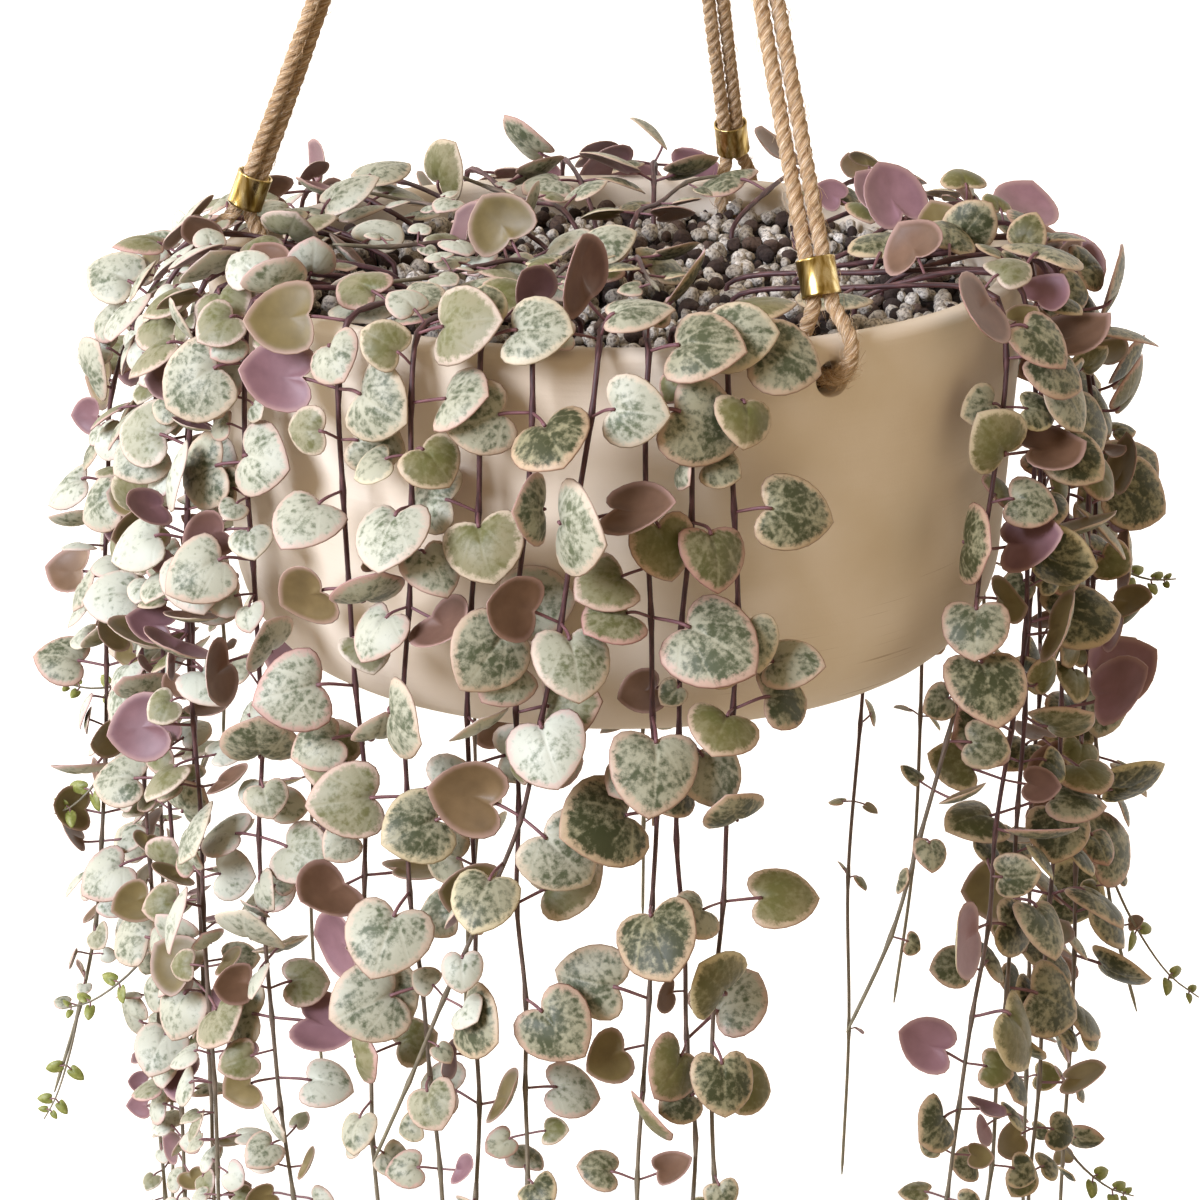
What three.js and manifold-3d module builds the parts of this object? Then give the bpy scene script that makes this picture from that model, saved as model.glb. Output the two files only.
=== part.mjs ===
// A string-of-hearts vine in a hanging ceramic pot, carried by three doubled jute hangers.
// Millimetres, +Z up. The origin is where a hook would meet the inside of the brass ring.
// The planter group has its own zero at the middle of the rim plane, and "height" is above that
// plane. Azimuth is in degrees, 0 at the front (-Y) and growing towards the right (+X).
import * as THREE from "three";
import { mergeVertices } from "three/addons/utils/BufferGeometryUtils.js";
import Module from "manifold-3d";

// Pot
const RIM_RADIUS = 100;
const POT_HEIGHT = 96;
const WALL = 7;
const FLOOR = 8;
const SHOULDER = { depth: 67.5, radius: 95.5 }; // where the straight wall turns into the round foot
const BASE_RADIUS = 73;
const FOOT_DEPTHS = [94.5, 89, 80]; // where the round foot has its corners, under the shoulder
const LIP_ROUND = 2.6;
const NARROWING = 4; // how far over the shoulder the inside narrows, and how far the floor is set in
const INNER_FOOT = { depth: 84, rise: 7, inset: 1 }; // where the inside turns into its floor
const POT_SIDES = 38;
// Soil
const SOIL_DEPTH = 8.5;
const SOIL_RINGS = 7;
const SOIL_SIDES = 20;
const SOIL_INSET = 0.6; // more than the gap, so that the straight wall stays clear where it narrows
const GRANULE_RELIEF = 2.4;
const ROPE_POCKET = { radius: 4.2, height: 12, out: 90.2, side: 1.4, rise: 2 };
const GAP = 0.3; // between pieces that touch
// Where each stream of random numbers starts
const SEEDS = { soil: 17, strands: 7, sprays: 500, apart: 13, stem: 1009, station: 31 };
// Hangers
const HANG_DROP = 278; // from the hook down to the rim plane
const HANGERS = [
  { name: "front", azimuth: 28.5, hand: 1 },
  { name: "back", azimuth: 160.5, hand: -1 },
  { name: "left", azimuth: -100, hand: 1 },
];
const HOLE = { radius: 4, depth: 9.2 };
const ROPE_RADIUS = 1.75;
const FERRULE = { radius: 4.4, length: 8.6, out: 92.4, height: 12.5 };
const LEGS = { apart: 1.92, clearance: 0.37 }; // the two legs of a rope where they pass the ferrule
const FERRULE_LEAN = 0.392; // outward run of a hanger for each millimetre of drop
const WHIPPING = { radius: 8.2, bottom: 236.3, top: 250, turn: 2, foot: 1, shoulder: 2.2 };
const LOOP = { radius: 5.5, cord: 2.2, leg: 8.1, sunk: 3 };
const RING = { radius: 10, wire: 1.5 };
// Stems
const STEM = 0.95; // from the middle of the three-sided stem to its corners
const NODE_HALF = 0.665; // half the length of stem that the stalks of one pair grow out of
const ROOT_DEPTH = 12;
const ROOT_HOLE = 3.4; // width of the plain square hole that a stem stands in
const COLLAR = -4.6; // height at which a stem has left the soil
const HALFWAY = { turned: 0.6, out: 0.55, height: 0.6 }; // on the way from the root to the lip
const LIP_CREST = { radius: 94.5, height: 2.4 };
const LIP_EDGE = { radius: 102.2, height: 0.7, spread: 0.12 };
const LIFT = 2.4; // most that one stem crosses the lip higher than another
const HANG = { start: 12, radius: 103.6, settle: 17, wander: 1.4, leanPower: 4, turnPower: 1.5 };
const SWAY = { reach: 2.2, length: 34, random: 2, full: 40 }; // all of it from the full depth on
const SPRAY = { shares: [0.22, 0.48, 0.74, 1], height: 1.5, rise: 4 };
// Leaves
const STALK = 0.55;
const STALK_START = 1.4; // from the middle of the stem, outside its corners
const STALK_LIMITS = { across: 0.4, over: -0.2, along: -0.1 }; // cosines to the blade's directions
const STALK_REACH = { least: 2, share: 0.15, hanging: 0.09, random: 0.18 }; // mm, then leaf widths
const SCATTER = { round: 50, rise: 40, droop: -14 }; // degrees about each stalk's place
// What turns a blade's face: outwards and up, less up on a hanging stem, a little to the front.
const LIGHT = { out: 0.6, up: 1.1, less: 0.4, front: 0.04, hanging: 0.2 };
const LOOSE = { least: 0.6, hanging: 0.7, rise: 0.9 }; // how far the face strays from that
const SINK = { least: 0.1, random: 0.25 }; // how much the tips of hanging leaves sink
// How many leaves show their underside, more of them on the planter's left and right.
const UNDERSIDE = { least: 0.05, hanging: 0.18, beside: 0.22, turn: 150 };
const OPPOSED = 0.3; // two unit directions whose sum is shorter than this point apart
const SPREAD = { crown: 60, wall: 105 }; // degrees: the least on the crown, the most by the wall
const UPRIGHT = 0.85; // vertical share of a stem's direction from which it hangs
const BELOW_POT = 6; // from here down a hanging stem has leaves all round
const WIDTH = { least: 0.88, random: 0.2 };
const SHADED = { angle: 120, share: 0.7 }; // leaves on the dark side of a stem mostly fall
const YOUNG = [0.34, 0.5, 0.72]; // sizes of the leaf pairs counted back from the tip
const LEAF_CLEARANCE = 0.35;
const POT_CLEARANCE = 1;
const SOIL_CLEARANCE = 0.9;
const TRIES = 14;
const SHRINK = 0.025; // how much smaller a leaf gets with each try

// Each hanging stem: the azimuth where it crosses the rim, how far from the axis it hangs,
// the azimuth and radius of its root, the height of its tip, the degrees it turns on its way
// down, how far its end leans out, the width of its leaves and the distance between its pairs.
const STRANDS = [
  { at: -113, out: 112, root: [-111, 66], tip: -150, turn: 3, lean: 0, leaf: 16, step: 26 },
  { at: -103, out: 122, root: [-99, 56], tip: -276, turn: 4, lean: 0, leaf: 16, step: 26 },
  { at: -93, out: 128, root: [-90, 66], tip: -236, turn: 2, lean: 24, leaf: 16, step: 24 },
  { at: -85.5, out: 119, root: [-81, 54], tip: -292, turn: -1, lean: 0, leaf: 16, step: 24 },
  { at: -78, out: 114, root: [-75, 66], tip: -288, turn: 2, lean: 0, leaf: 16, step: 23 },
  { at: -70.5, out: 109, root: [-66, 54], tip: -284, turn: 1, lean: 0, leaf: 17, step: 24 },
  { at: -63.5, out: 113, root: [-61, 67], tip: -278, turn: 3, lean: 0, leaf: 17, step: 23 },
  { at: -54.5, out: 106.5, root: [-49, 55], tip: -270, turn: 9, lean: 0, leaf: 18, step: 23 },
  { at: -36, out: 106, root: [-36, 62], tip: -264, turn: 6, lean: 0, leaf: 19, step: 23 },
  { at: -25.5, out: 109.5, root: [-24, 54], tip: -262, turn: 3, lean: 0, leaf: 19, step: 23 },
  { at: -17, out: 105.5, root: [-18, 67], tip: -252, turn: -3, lean: 0, leaf: 19, step: 24 },
  { at: -10.5, out: 108.5, root: [-9, 56], tip: -264, turn: -3, lean: 0, leaf: 20, step: 23 },
  { at: -2.5, out: 113, root: [-1, 62], tip: -204, turn: -28, lean: 0, leaf: 21, step: 23 },
  { at: 3.5, out: 107.5, root: [6, 54], tip: -264, turn: 0, lean: 0, leaf: 21, step: 23 },
  { at: 8, out: 105, root: [10, 68], tip: -262, turn: 1, lean: 0, leaf: 19, step: 25 },
  { at: 13, out: 107, root: [16, 58], tip: -258, turn: 0, lean: 0, leaf: 18, step: 23 },
  { at: 58, out: 106, root: [43, 40], tip: -184, turn: -32, lean: 0, leaf: 19, step: 22 },
  { at: 64, out: 108.5, root: [58, 66], tip: -268, turn: -22, lean: 0, leaf: 19, step: 23 },
  { at: 70.5, out: 107, root: [62, 30], tip: -280, turn: -18, lean: 0, leaf: 19, step: 23 },
  { at: 77, out: 112, root: [74, 66], tip: -282, turn: -10, lean: 0, leaf: 18, step: 24 },
  { at: 84, out: 117, root: [78, 44], tip: -276, turn: -4, lean: 0, leaf: 19, step: 24 },
  { at: 92, out: 119, root: [90, 68], tip: -214, turn: -2, lean: 20, leaf: 18, step: 24 },
  { at: 102, out: 110, root: [98, 52], tip: -286, turn: -8, lean: 0, leaf: 18, step: 27 },
  { at: 115, out: 107, root: [113, 66], tip: -150, turn: 2, lean: 0, leaf: 18, step: 27 },
  { at: 127, out: 105.5, root: [125, 55], tip: -232, turn: 4, lean: 0, leaf: 12, step: 44 },
  { at: 138, out: 107, root: [136, 66], tip: -294, turn: 5, lean: 0, leaf: 12, step: 47 },
  { at: 150, out: 106, root: [148, 56], tip: -140, turn: 2, lean: 0, leaf: 20, step: 30 },
  { at: 174, out: 107, root: [171, 62], tip: -242, turn: 1, lean: 0, leaf: 20, step: 30 },
  { at: 188, out: 109, root: [186, 52], tip: -150, turn: -3, lean: 0, leaf: 16, step: 30 },
  { at: 203, out: 106, root: [202, 64], tip: -256, turn: 0, lean: 0, leaf: 20, step: 30 },
  { at: 217, out: 109, root: [215, 53], tip: -148, turn: 3, lean: 0, leaf: 20, step: 30 },
  { at: 232, out: 107, root: [231, 64], tip: -262, turn: -2, lean: 0, leaf: 20, step: 30 },
];
// Each crown spray lies over the soil from its root to its end: azimuth and radius of both.
const SPRAYS = [
  { root: [-80, 16], end: [-70, 72], leaf: 21 },
  { root: [-44, 20], end: [-43, 80], leaf: 22 },
  { root: [-22, 14], end: [-15, 70], leaf: 21 },
  { root: [10, 16], end: [8, 66], leaf: 20 },
  { root: [-125, 18], end: [-124, 80], leaf: 20 },
  { root: [-158, 20], end: [-146, 78], leaf: 19 },
  { root: [172, 14], end: [158, 72], leaf: 18 },
];

// One half of the leaf blade, from the lobe beside the stalk round to the tip: across and
// along, as shares of the leaf's width, and how far the edge droops under the stalk's end.
const BLADE = [
  { across: 0.26, along: -0.16, droop: 0.04 },
  { across: 0.5, along: 0.12, droop: 0.07 },
  { across: 0.37, along: 0.48, droop: 0.05 },
  { across: 0, along: 0.82, droop: 0.07 },
];
const BLADE_MIDDLE = 0.27;
const BLADE_RISE = { most: 1.1, from: 14 }; // the middle over the stalk's end, from this width on
const SMALL_LEAF = 18; // leaves narrower than this have a plainer outline

const wasm = await Module();
wasm.setup();

const radians = THREE.MathUtils.degToRad;
const mix = THREE.MathUtils.lerp;
const UP = new THREE.Vector3(0, 0, 1);

// A repeatable stream of numbers from 0 to 1.
function draws(seed) {
  let state = seed >>> 0;
  return () => {
    state = (state + 0x6d2b79f5) >>> 0;
    let mixed = Math.imul(state ^ (state >>> 15), state | 1);
    mixed ^= mixed + Math.imul(mixed ^ (mixed >>> 7), mixed | 61);
    return ((mixed ^ (mixed >>> 14)) >>> 0) / 4294967296;
  };
}

function outward(azimuth) {
  return new THREE.Vector3(Math.sin(radians(azimuth)), -Math.cos(radians(azimuth)), 0);
}

function place(azimuth, radius, height) {
  return outward(azimuth).multiplyScalar(radius).setZ(height);
}

// ---- Solids and booleans ----

function solidOf(geometry) {
  const bare = geometry.clone();
  bare.deleteAttribute("normal");
  bare.deleteAttribute("uv");
  const merged = mergeVertices(bare, 1e-4);
  const corners = Array.from(merged.index.array);
  const triVerts = [];
  for (let i = 0; i < corners.length; i += 3) {
    const [a, b, c] = corners.slice(i, i + 3);
    if (a !== b && b !== c && c !== a) triVerts.push(a, b, c);
  }
  return new wasm.Manifold(
    new wasm.Mesh({
      numProp: 3,
      vertProperties: merged.attributes.position.array,
      triVerts: Uint32Array.from(triVerts),
    }),
  );
}

function geometryOf(solid) {
  const mesh = solid.getMesh();
  return closedGeometry(Array.from(mesh.vertProperties), Array.from(mesh.triVerts));
}

function closedGeometry(numbers, corners) {
  const geometry = new THREE.BufferGeometry();
  geometry.setAttribute("position", new THREE.Float32BufferAttribute(numbers, 3));
  geometry.setIndex(corners);
  geometry.computeVertexNormals();
  return geometry;
}

function revolved(profile, sides) {
  const points = profile.map(([radius, height]) => new THREE.Vector2(radius, height));
  return new THREE.LatheGeometry(points, sides).rotateX(Math.PI / 2);
}

// A plain bar along Z, turned so that its middle is at a point and it runs along a direction.
function bar(radius, length, sides, middle, direction) {
  const geometry = new THREE.CylinderGeometry(radius, radius, length, sides);
  const turn = new THREE.Quaternion().setFromUnitVectors(new THREE.Vector3(0, 1, 0), direction);
  return geometry.applyQuaternion(turn).translate(middle.x, middle.y, middle.z);
}

// ---- Pot ----

function outerRadius(depth) {
  if (depth <= SHOULDER.depth) {
    return mix(RIM_RADIUS, SHOULDER.radius, depth / SHOULDER.depth);
  }
  const share = Math.min(1, (depth - SHOULDER.depth) / (POT_HEIGHT - SHOULDER.depth));
  return mix(BASE_RADIUS, SHOULDER.radius, Math.sqrt(1 - share * share));
}

function lipPoint(edge, towards, degrees) {
  const turn = radians(degrees);
  const middle = edge + towards * LIP_ROUND;
  return [middle - towards * LIP_ROUND * Math.cos(turn), LIP_ROUND * (Math.sin(turn) - 1)];
}

function innerProfile(clearance) {
  const wall = WALL + clearance;
  const foot = POT_HEIGHT - FLOOR - clearance;
  return [
    [outerRadius(SHOULDER.depth) - wall, -SHOULDER.depth + NARROWING],
    [outerRadius(INNER_FOOT.depth) - wall - INNER_FOOT.inset, -foot + INNER_FOOT.rise],
    [BASE_RADIUS - wall - NARROWING, -foot],
    [0, -foot],
  ];
}

function potGeometry() {
  const profile = [
    [0, -POT_HEIGHT],
    [BASE_RADIUS, -POT_HEIGHT],
    ...[...FOOT_DEPTHS, SHOULDER.depth].map((depth) => [outerRadius(depth), -depth]),
    lipPoint(RIM_RADIUS, -1, 0),
    lipPoint(RIM_RADIUS, -1, 50),
    lipPoint(RIM_RADIUS, -1, 90),
    lipPoint(RIM_RADIUS - WALL, 1, 90),
    lipPoint(RIM_RADIUS - WALL, 1, 0),
    ...innerProfile(0),
  ];
  const holes = HANGERS.map(({ azimuth }) =>
    solidOf(
      bar(HOLE.radius, 4 * WALL, 10, place(azimuth, RIM_RADIUS - WALL / 2, -HOLE.depth), outward(azimuth)),
    ),
  );
  return geometryOf(holes.reduce((pot, hole) => pot.subtract(hole), solidOf(revolved(profile, POT_SIDES))));
}

// ---- Soil: a filled bed whose top is raised in grains, with plain holes for what stands in it ----

function soilGeometry(roots) {
  const edge = RIM_RADIUS - WALL - GAP - SOIL_INSET;
  const top = Array.from({ length: SOIL_RINGS }, (_, i) => [(edge * i) / (SOIL_RINGS - 1), -SOIL_DEPTH]);
  const profile = [...innerProfile(GAP).reverse(), ...top.reverse()];
  const bare = revolved(profile, SOIL_SIDES);
  bare.deleteAttribute("normal");
  bare.deleteAttribute("uv");
  const bed = mergeVertices(bare, 1e-3);
  const spots = bed.attributes.position;
  const draw = draws(SEEDS.soil);
  for (let i = 0; i < spots.count; i += 1) {
    const onTop = Math.abs(spots.getZ(i) + SOIL_DEPTH) < 0.01;
    const lift = (draw() - 0.5) * GRANULE_RELIEF;
    const inside = Math.hypot(spots.getX(i), spots.getY(i)) < edge - GAP;
    if (onTop && inside) spots.setZ(i, -SOIL_DEPTH + lift);
  }
  let soil = solidOf(bed);
  for (const { azimuth, hand } of HANGERS) {
    const side = outward(azimuth + 90).multiplyScalar(-ROPE_POCKET.side * hand);
    const middle = place(azimuth, ROPE_POCKET.out, -SOIL_DEPTH + ROPE_POCKET.rise).add(side);
    soil = soil.subtract(solidOf(bar(ROPE_POCKET.radius, ROPE_POCKET.height, 8, middle, UP)));
  }
  for (const root of roots) {
    const hole = new THREE.BoxGeometry(ROOT_HOLE, ROOT_HOLE, 2 * ROOT_DEPTH);
    hole.translate(root.x, root.y, -GAP);
    soil = soil.subtract(solidOf(hole));
  }
  return geometryOf(soil);
}

// ---- Hangers ----

// A curve that steps evenly from one of its points to the next, however far apart they are.
class Route extends THREE.CatmullRomCurve3 {
  getUtoTmapping(share) {
    return share;
  }
}

// One leg of a hanger, from the whipping down to the lowest point of the loop through the pot's
// hole: distance from the axis, sideways, height.
const LEG_INSIDE = [
  [4.7, -1.9, 235.6],
  [34.2, -1.9, 160],
  [61.5, -1.85, 90],
  [80.2, -1.55, 40],
  [88.8, -1.4, 18],
  [92.5, -1.4, 8.5],
  [93.0, -1.45, 7.1],
  [92.6, -1.8, 4.4],
  [91.0, -2.0, 1],
  [89.6, -2.1, -2.3],
  [90.2, -1.6, -6.0],
  [92.6, -0.8, -8.5],
];
const LEG_OUTSIDE = [
  [100.4, 0.8, -8.5],
  [102.8, 1.6, -6.0],
  [103.4, 2.1, -2.3],
  [102.7, 2.1, 0.5],
  [100.7, 1.9, 2.9],
  [98.3, 1.6, 5.2],
  [96.2, 1.4, 7.1],
  [95.6, 1.4, 8.5],
  [91.5, 1.4, 18],
  [82.6, 1.55, 40],
  [62.5, 1.85, 90],
  [34.8, 1.9, 160],
  [4.7, 1.9, 235.6],
];
const LOOP_LOW = [96.5, 0, -9.3];

function hangerPoint({ azimuth, hand }, [radius, side, height]) {
  return place(azimuth, radius, height).add(outward(azimuth + 90).multiplyScalar(side * hand));
}

function hangerRoute(hanger) {
  return [...LEG_INSIDE, LOOP_LOW, ...LEG_OUTSIDE].map((point) => hangerPoint(hanger, point));
}

function roundShape(radius, sides) {
  const corners = Array.from({ length: sides }, (_, i) => {
    const turn = (2 * Math.PI * i) / sides;
    return new THREE.Vector2(radius * Math.cos(turn), radius * Math.sin(turn));
  });
  return new THREE.Shape(corners);
}

function ropeGeometry(hanger) {
  const route = hangerRoute(hanger);
  return new THREE.ExtrudeGeometry(roundShape(ROPE_RADIUS, 8), {
    steps: route.length - 1,
    extrudePath: new Route(route),
  });
}

// A round brass sleeve, with one slot that takes both legs of the rope side by side.
function ferruleGeometry({ azimuth, hand }) {
  const shape = roundShape(FERRULE.radius, 16);
  const bore = ROPE_RADIUS + LEGS.clearance;
  const slot = new THREE.Path();
  for (const side of [1, -1]) {
    for (const degrees of [-90, -45, 0, 45, 90]) {
      const turn = radians(degrees);
      const across = side * (LEGS.apart + bore * Math.cos(turn));
      const along = side * bore * Math.sin(turn);
      if (slot.currentPoint.lengthSq() === 0) slot.moveTo(across, along);
      else slot.lineTo(across, along);
    }
  }
  shape.holes.push(slot);
  const sleeve = new THREE.ExtrudeGeometry(shape, { depth: FERRULE.length, bevelEnabled: false });
  sleeve.translate(0, 0, -FERRULE.length / 2);
  const out = outward(azimuth);
  const axis = UP.clone().addScaledVector(out, -FERRULE_LEAN).normalize();
  const legsWay = out.clone().addScaledVector(outward(azimuth + 90), hand);
  legsWay.addScaledVector(axis, -legsWay.dot(axis)).normalize();
  const middle = ferruleMiddle(azimuth);
  const turn = new THREE.Matrix4().makeBasis(legsWay, axis.clone().cross(legsWay), axis);
  return sleeve.applyMatrix4(turn).translate(middle.x, middle.y, middle.z);
}

function ferruleMiddle(azimuth) {
  return place(azimuth, FERRULE.out, FERRULE.height);
}

// The whipping that binds the six rope legs, with the rope loop that the ring hangs in.
function gatheringGeometry() {
  const { radius, bottom, top, turn, foot, shoulder } = WHIPPING;
  const bound = [
    [0, bottom],
    [radius - foot, bottom],
    [radius, bottom + turn],
    [radius, top - turn],
    [radius - shoulder, top],
    [0, top],
  ];
  const rise = top + LOOP.leg;
  const arch = [0, 30, 60, 90, 120, 150, 180].map((degrees) => {
    const angle = radians(degrees);
    return new THREE.Vector3(LOOP.radius * Math.cos(angle), 0, rise + LOOP.radius * Math.sin(angle));
  });
  const feet = [LOOP.radius, -LOOP.radius].map((x) => new THREE.Vector3(x, 0, top - LOOP.sunk));
  const route = [feet[0], ...arch, feet[1]];
  const loop = new THREE.ExtrudeGeometry(roundShape(LOOP.cord, 8), {
    steps: route.length - 1,
    extrudePath: new Route(route),
  });
  return geometryOf(solidOf(revolved(bound, 12)).add(solidOf(loop)));
}

function ringGeometry() {
  const ring = new THREE.TorusGeometry(RING.radius, RING.wire, 8, 16);
  ring.rotateY(Math.PI / 2);
  return ring.translate(0, 0, HANG_DROP + RING.wire - RING.radius);
}

// ---- Vine: where the stems run ----

function strandCourse(strand, draw) {
  const [rootAzimuth, rootRadius] = strand.root;
  const lift = draw() * LIFT;
  const wave = draw() * 2 * Math.PI;
  const outer = LIP_EDGE.radius + LIP_EDGE.spread * (strand.out - HANG.radius);
  const halfAzimuth = mix(rootAzimuth, strand.at, HALFWAY.turned);
  const halfRadius = mix(rootRadius, LIP_CREST.radius, HALFWAY.out);
  const stations = [
    place(rootAzimuth, rootRadius, -ROOT_DEPTH),
    place(rootAzimuth, rootRadius, COLLAR),
    place(halfAzimuth, halfRadius, HALFWAY.height + lift),
    place(strand.at, LIP_CREST.radius, LIP_CREST.height + lift),
    place(strand.at, outer, LIP_EDGE.height + lift),
  ];
  const fall = -strand.tip;
  for (let depth = HANG.start; depth <= fall; depth += strand.step) {
    const share = depth / fall;
    const sway = SWAY.reach * Math.sin(wave + depth / SWAY.length) + SWAY.random * (draw() - 0.5);
    const settled = (strand.out - HANG.radius) * (1 - Math.exp(-depth / HANG.settle));
    const lean = strand.lean * share ** HANG.leanPower;
    const radius = HANG.radius + settled + lean + HANG.wander * draw();
    const azimuth = strand.at + strand.turn * share ** HANG.turnPower;
    const sideways = outward(azimuth + 90).multiplyScalar(sway * Math.min(1, depth / SWAY.full));
    stations.push(place(azimuth, radius, -depth).add(sideways));
  }
  return stations;
}

function sprayCourse(spray, draw) {
  const [rootAzimuth, rootRadius] = spray.root;
  const [endAzimuth, endRadius] = spray.end;
  const stations = [
    place(rootAzimuth, rootRadius, -ROOT_DEPTH),
    place(rootAzimuth, rootRadius, COLLAR),
  ];
  for (const share of SPRAY.shares) {
    const height = SPRAY.height + SPRAY.rise * share + LIFT * draw();
    stations.push(place(mix(rootAzimuth, endAzimuth, share), mix(rootRadius, endRadius, share), height));
  }
  return stations;
}

// The direction of the stem at each station.
function headings(stations) {
  return stations.map((station, i) => {
    const before = stations[Math.max(0, i - 1)];
    const after = stations[Math.min(stations.length - 1, i + 1)];
    return after.clone().sub(before).normalize();
  });
}

// ---- Vine: leaves that keep clear of each other ----

// The part of a vector that is square to a direction, at unit length.
function squareTo(direction, vector) {
  return vector.clone().addScaledVector(direction, -vector.dot(direction)).normalize();
}

// A convex piece, for testing what comes near it: its points, how thick they are, and a main axis.
function lump(points, thick, axis) {
  const middle = points.reduce((sum, p) => sum.add(p), new THREE.Vector3()).divideScalar(points.length);
  const reach = Math.max(...points.map((p) => p.distanceTo(middle))) + thick;
  return { points, thick, axis, middle, reach };
}

function spanAlong(direction, { points }) {
  const along = points.map((p) => p.dot(direction));
  return [Math.min(...along), Math.max(...along)];
}

// True where some direction parts the two pieces by the clearance.
function apart(a, b) {
  const between = b.middle.clone().sub(a.middle);
  if (between.length() > a.reach + b.reach + LEAF_CLEARANCE) return true;
  const ways = [
    a.axis,
    b.axis,
    a.axis.clone().cross(b.axis),
    between,
    squareTo(a.axis, between),
    squareTo(b.axis, between),
  ];
  const needed = a.thick + b.thick + LEAF_CLEARANCE;
  return ways.some((way) => {
    if (way.length() < 1e-6) return false;
    const direction = way.clone().normalize();
    const [lowA, highA] = spanAlong(direction, a);
    const [lowB, highB] = spanAlong(direction, b);
    return lowB - highA > needed || lowA - highB > needed;
  });
}

// True where a point is in, or too near, the pot or the soil.
function inPot(point) {
  const radius = Math.hypot(point.x, point.y);
  const inWall = radius > RIM_RADIUS - WALL - POT_CLEARANCE;
  if (point.z > POT_CLEARANCE || point.z < -POT_HEIGHT - POT_CLEARANCE) return false;
  if (inWall) return radius < outerRadius(Math.max(0, -point.z)) + POT_CLEARANCE;
  return point.z < -SOIL_DEPTH + GRANULE_RELIEF / 2 + SOIL_CLEARANCE;
}

// Where one leaf would lie. Its stalk leaves the stem at an angle round it, the blade turns its
// upper face to the light, and the tip sinks.
function leafPose(station, heading, angle, width, draw) {
  const away = new THREE.Vector3(station.x, station.y, 0).normalize();
  const upright = Math.abs(heading.z);
  const open = squareTo(heading, away.clone().multiplyScalar(upright).addScaledVector(UP, 1 - upright));
  const side = heading.clone().cross(open);
  const round = radians(angle + SCATTER.round * (draw() - 0.5));
  const rise = radians(SCATTER.droop + SCATTER.rise * draw());
  const stalk = open.clone().multiplyScalar(Math.cos(round)).addScaledVector(side, Math.sin(round));
  stalk.multiplyScalar(Math.cos(rise)).addScaledVector(heading, -Math.sin(rise)).normalize();
  const light = away.clone().multiplyScalar(LIGHT.out * upright);
  light.addScaledVector(UP, LIGHT.up - LIGHT.less * upright);
  const loose = LOOSE.least + LOOSE.hanging * upright;
  light.x += loose * (draw() - 0.5);
  light.y += loose * (draw() - 0.5) - (LIGHT.front + LIGHT.hanging * upright) * (1 - away.y);
  light.z += LOOSE.rise * upright * (draw() - 0.5);
  const normal = light.normalize();
  const turnedShare = UNDERSIDE.least + upright * (UNDERSIDE.hanging + UNDERSIDE.beside * Math.abs(away.x));
  if (draw() < turnedShare) normal.applyAxisAngle(stalk, radians(UNDERSIDE.turn));
  const sink = upright * (SINK.least + SINK.random * draw());
  const along = squareTo(normal, stalk.clone().addScaledVector(UP, -sink));
  const across = along.clone().cross(normal);
  const share = STALK_REACH.share + STALK_REACH.hanging * upright + STALK_REACH.random * draw();
  const notch = station.clone().addScaledVector(stalk, STALK_REACH.least + width * share);
  return { station, stalk, along, normal, across, notch, width };
}

function bladePoint(leaf, across, along, above) {
  return leaf.notch
    .clone()
    .addScaledVector(leaf.across, across * leaf.width)
    .addScaledVector(leaf.along, along * leaf.width)
    .addScaledVector(leaf.normal, above);
}

// The blade's edge, from the right lobe past the tip to the left lobe.
function bladeEdge(leaf) {
  const right = BLADE.filter((_, i) => leaf.width >= SMALL_LEAF || i !== 2);
  const left = right.slice(0, -1).reverse();
  return [
    ...right.map((p) => bladePoint(leaf, p.across, p.along, -p.droop * leaf.width)),
    ...left.map((p) => bladePoint(leaf, -p.across, p.along, -p.droop * leaf.width)),
  ];
}

function bladeMiddle(leaf) {
  const rise = BLADE_RISE.most * Math.min(1, leaf.width / BLADE_RISE.from);
  return bladePoint(leaf, 0, BLADE_MIDDLE, rise);
}

// True where the stalk comes in across a lobe, over the blade's face or from its tip.
function foulsItself({ stalk, across, along, normal }) {
  const overLobe = Math.abs(stalk.dot(across)) > STALK_LIMITS.across;
  return overLobe || stalk.dot(normal) < STALK_LIMITS.over || stalk.dot(along) < STALK_LIMITS.along;
}

// The blade and the stalk as two lumps, or nothing if the leaf would foul something.
function leafLumps(leaf, stem, grown, others) {
  if (foulsItself(leaf)) return null;
  const edge = bladeEdge(leaf);
  const middle = bladeMiddle(leaf);
  const halfway = edge.map((p) => p.clone().lerp(middle, 0.5));
  const alongEdge = edge.slice(1).map((p, i) => p.clone().lerp(edge[i], 0.5));
  if ([...edge, ...alongEdge, ...halfway, middle, leaf.notch].some(inPot)) return null;
  const under = bladePoint(leaf, 0, 0, -STALK);
  const blade = lump([...edge, middle, under], 0, leaf.normal);
  const start = leaf.station.clone().addScaledVector(leaf.stalk, STALK_START);
  const stalk = lump([start, leaf.notch], STALK, leaf.stalk);
  const clear =
    stem.lumps.every((other) => apart(blade, other)) &&
    [...grown, ...others].every((other) => apart(blade, other) && apart(stalk, other));
  return clear ? [blade, stalk] : null;
}

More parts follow.
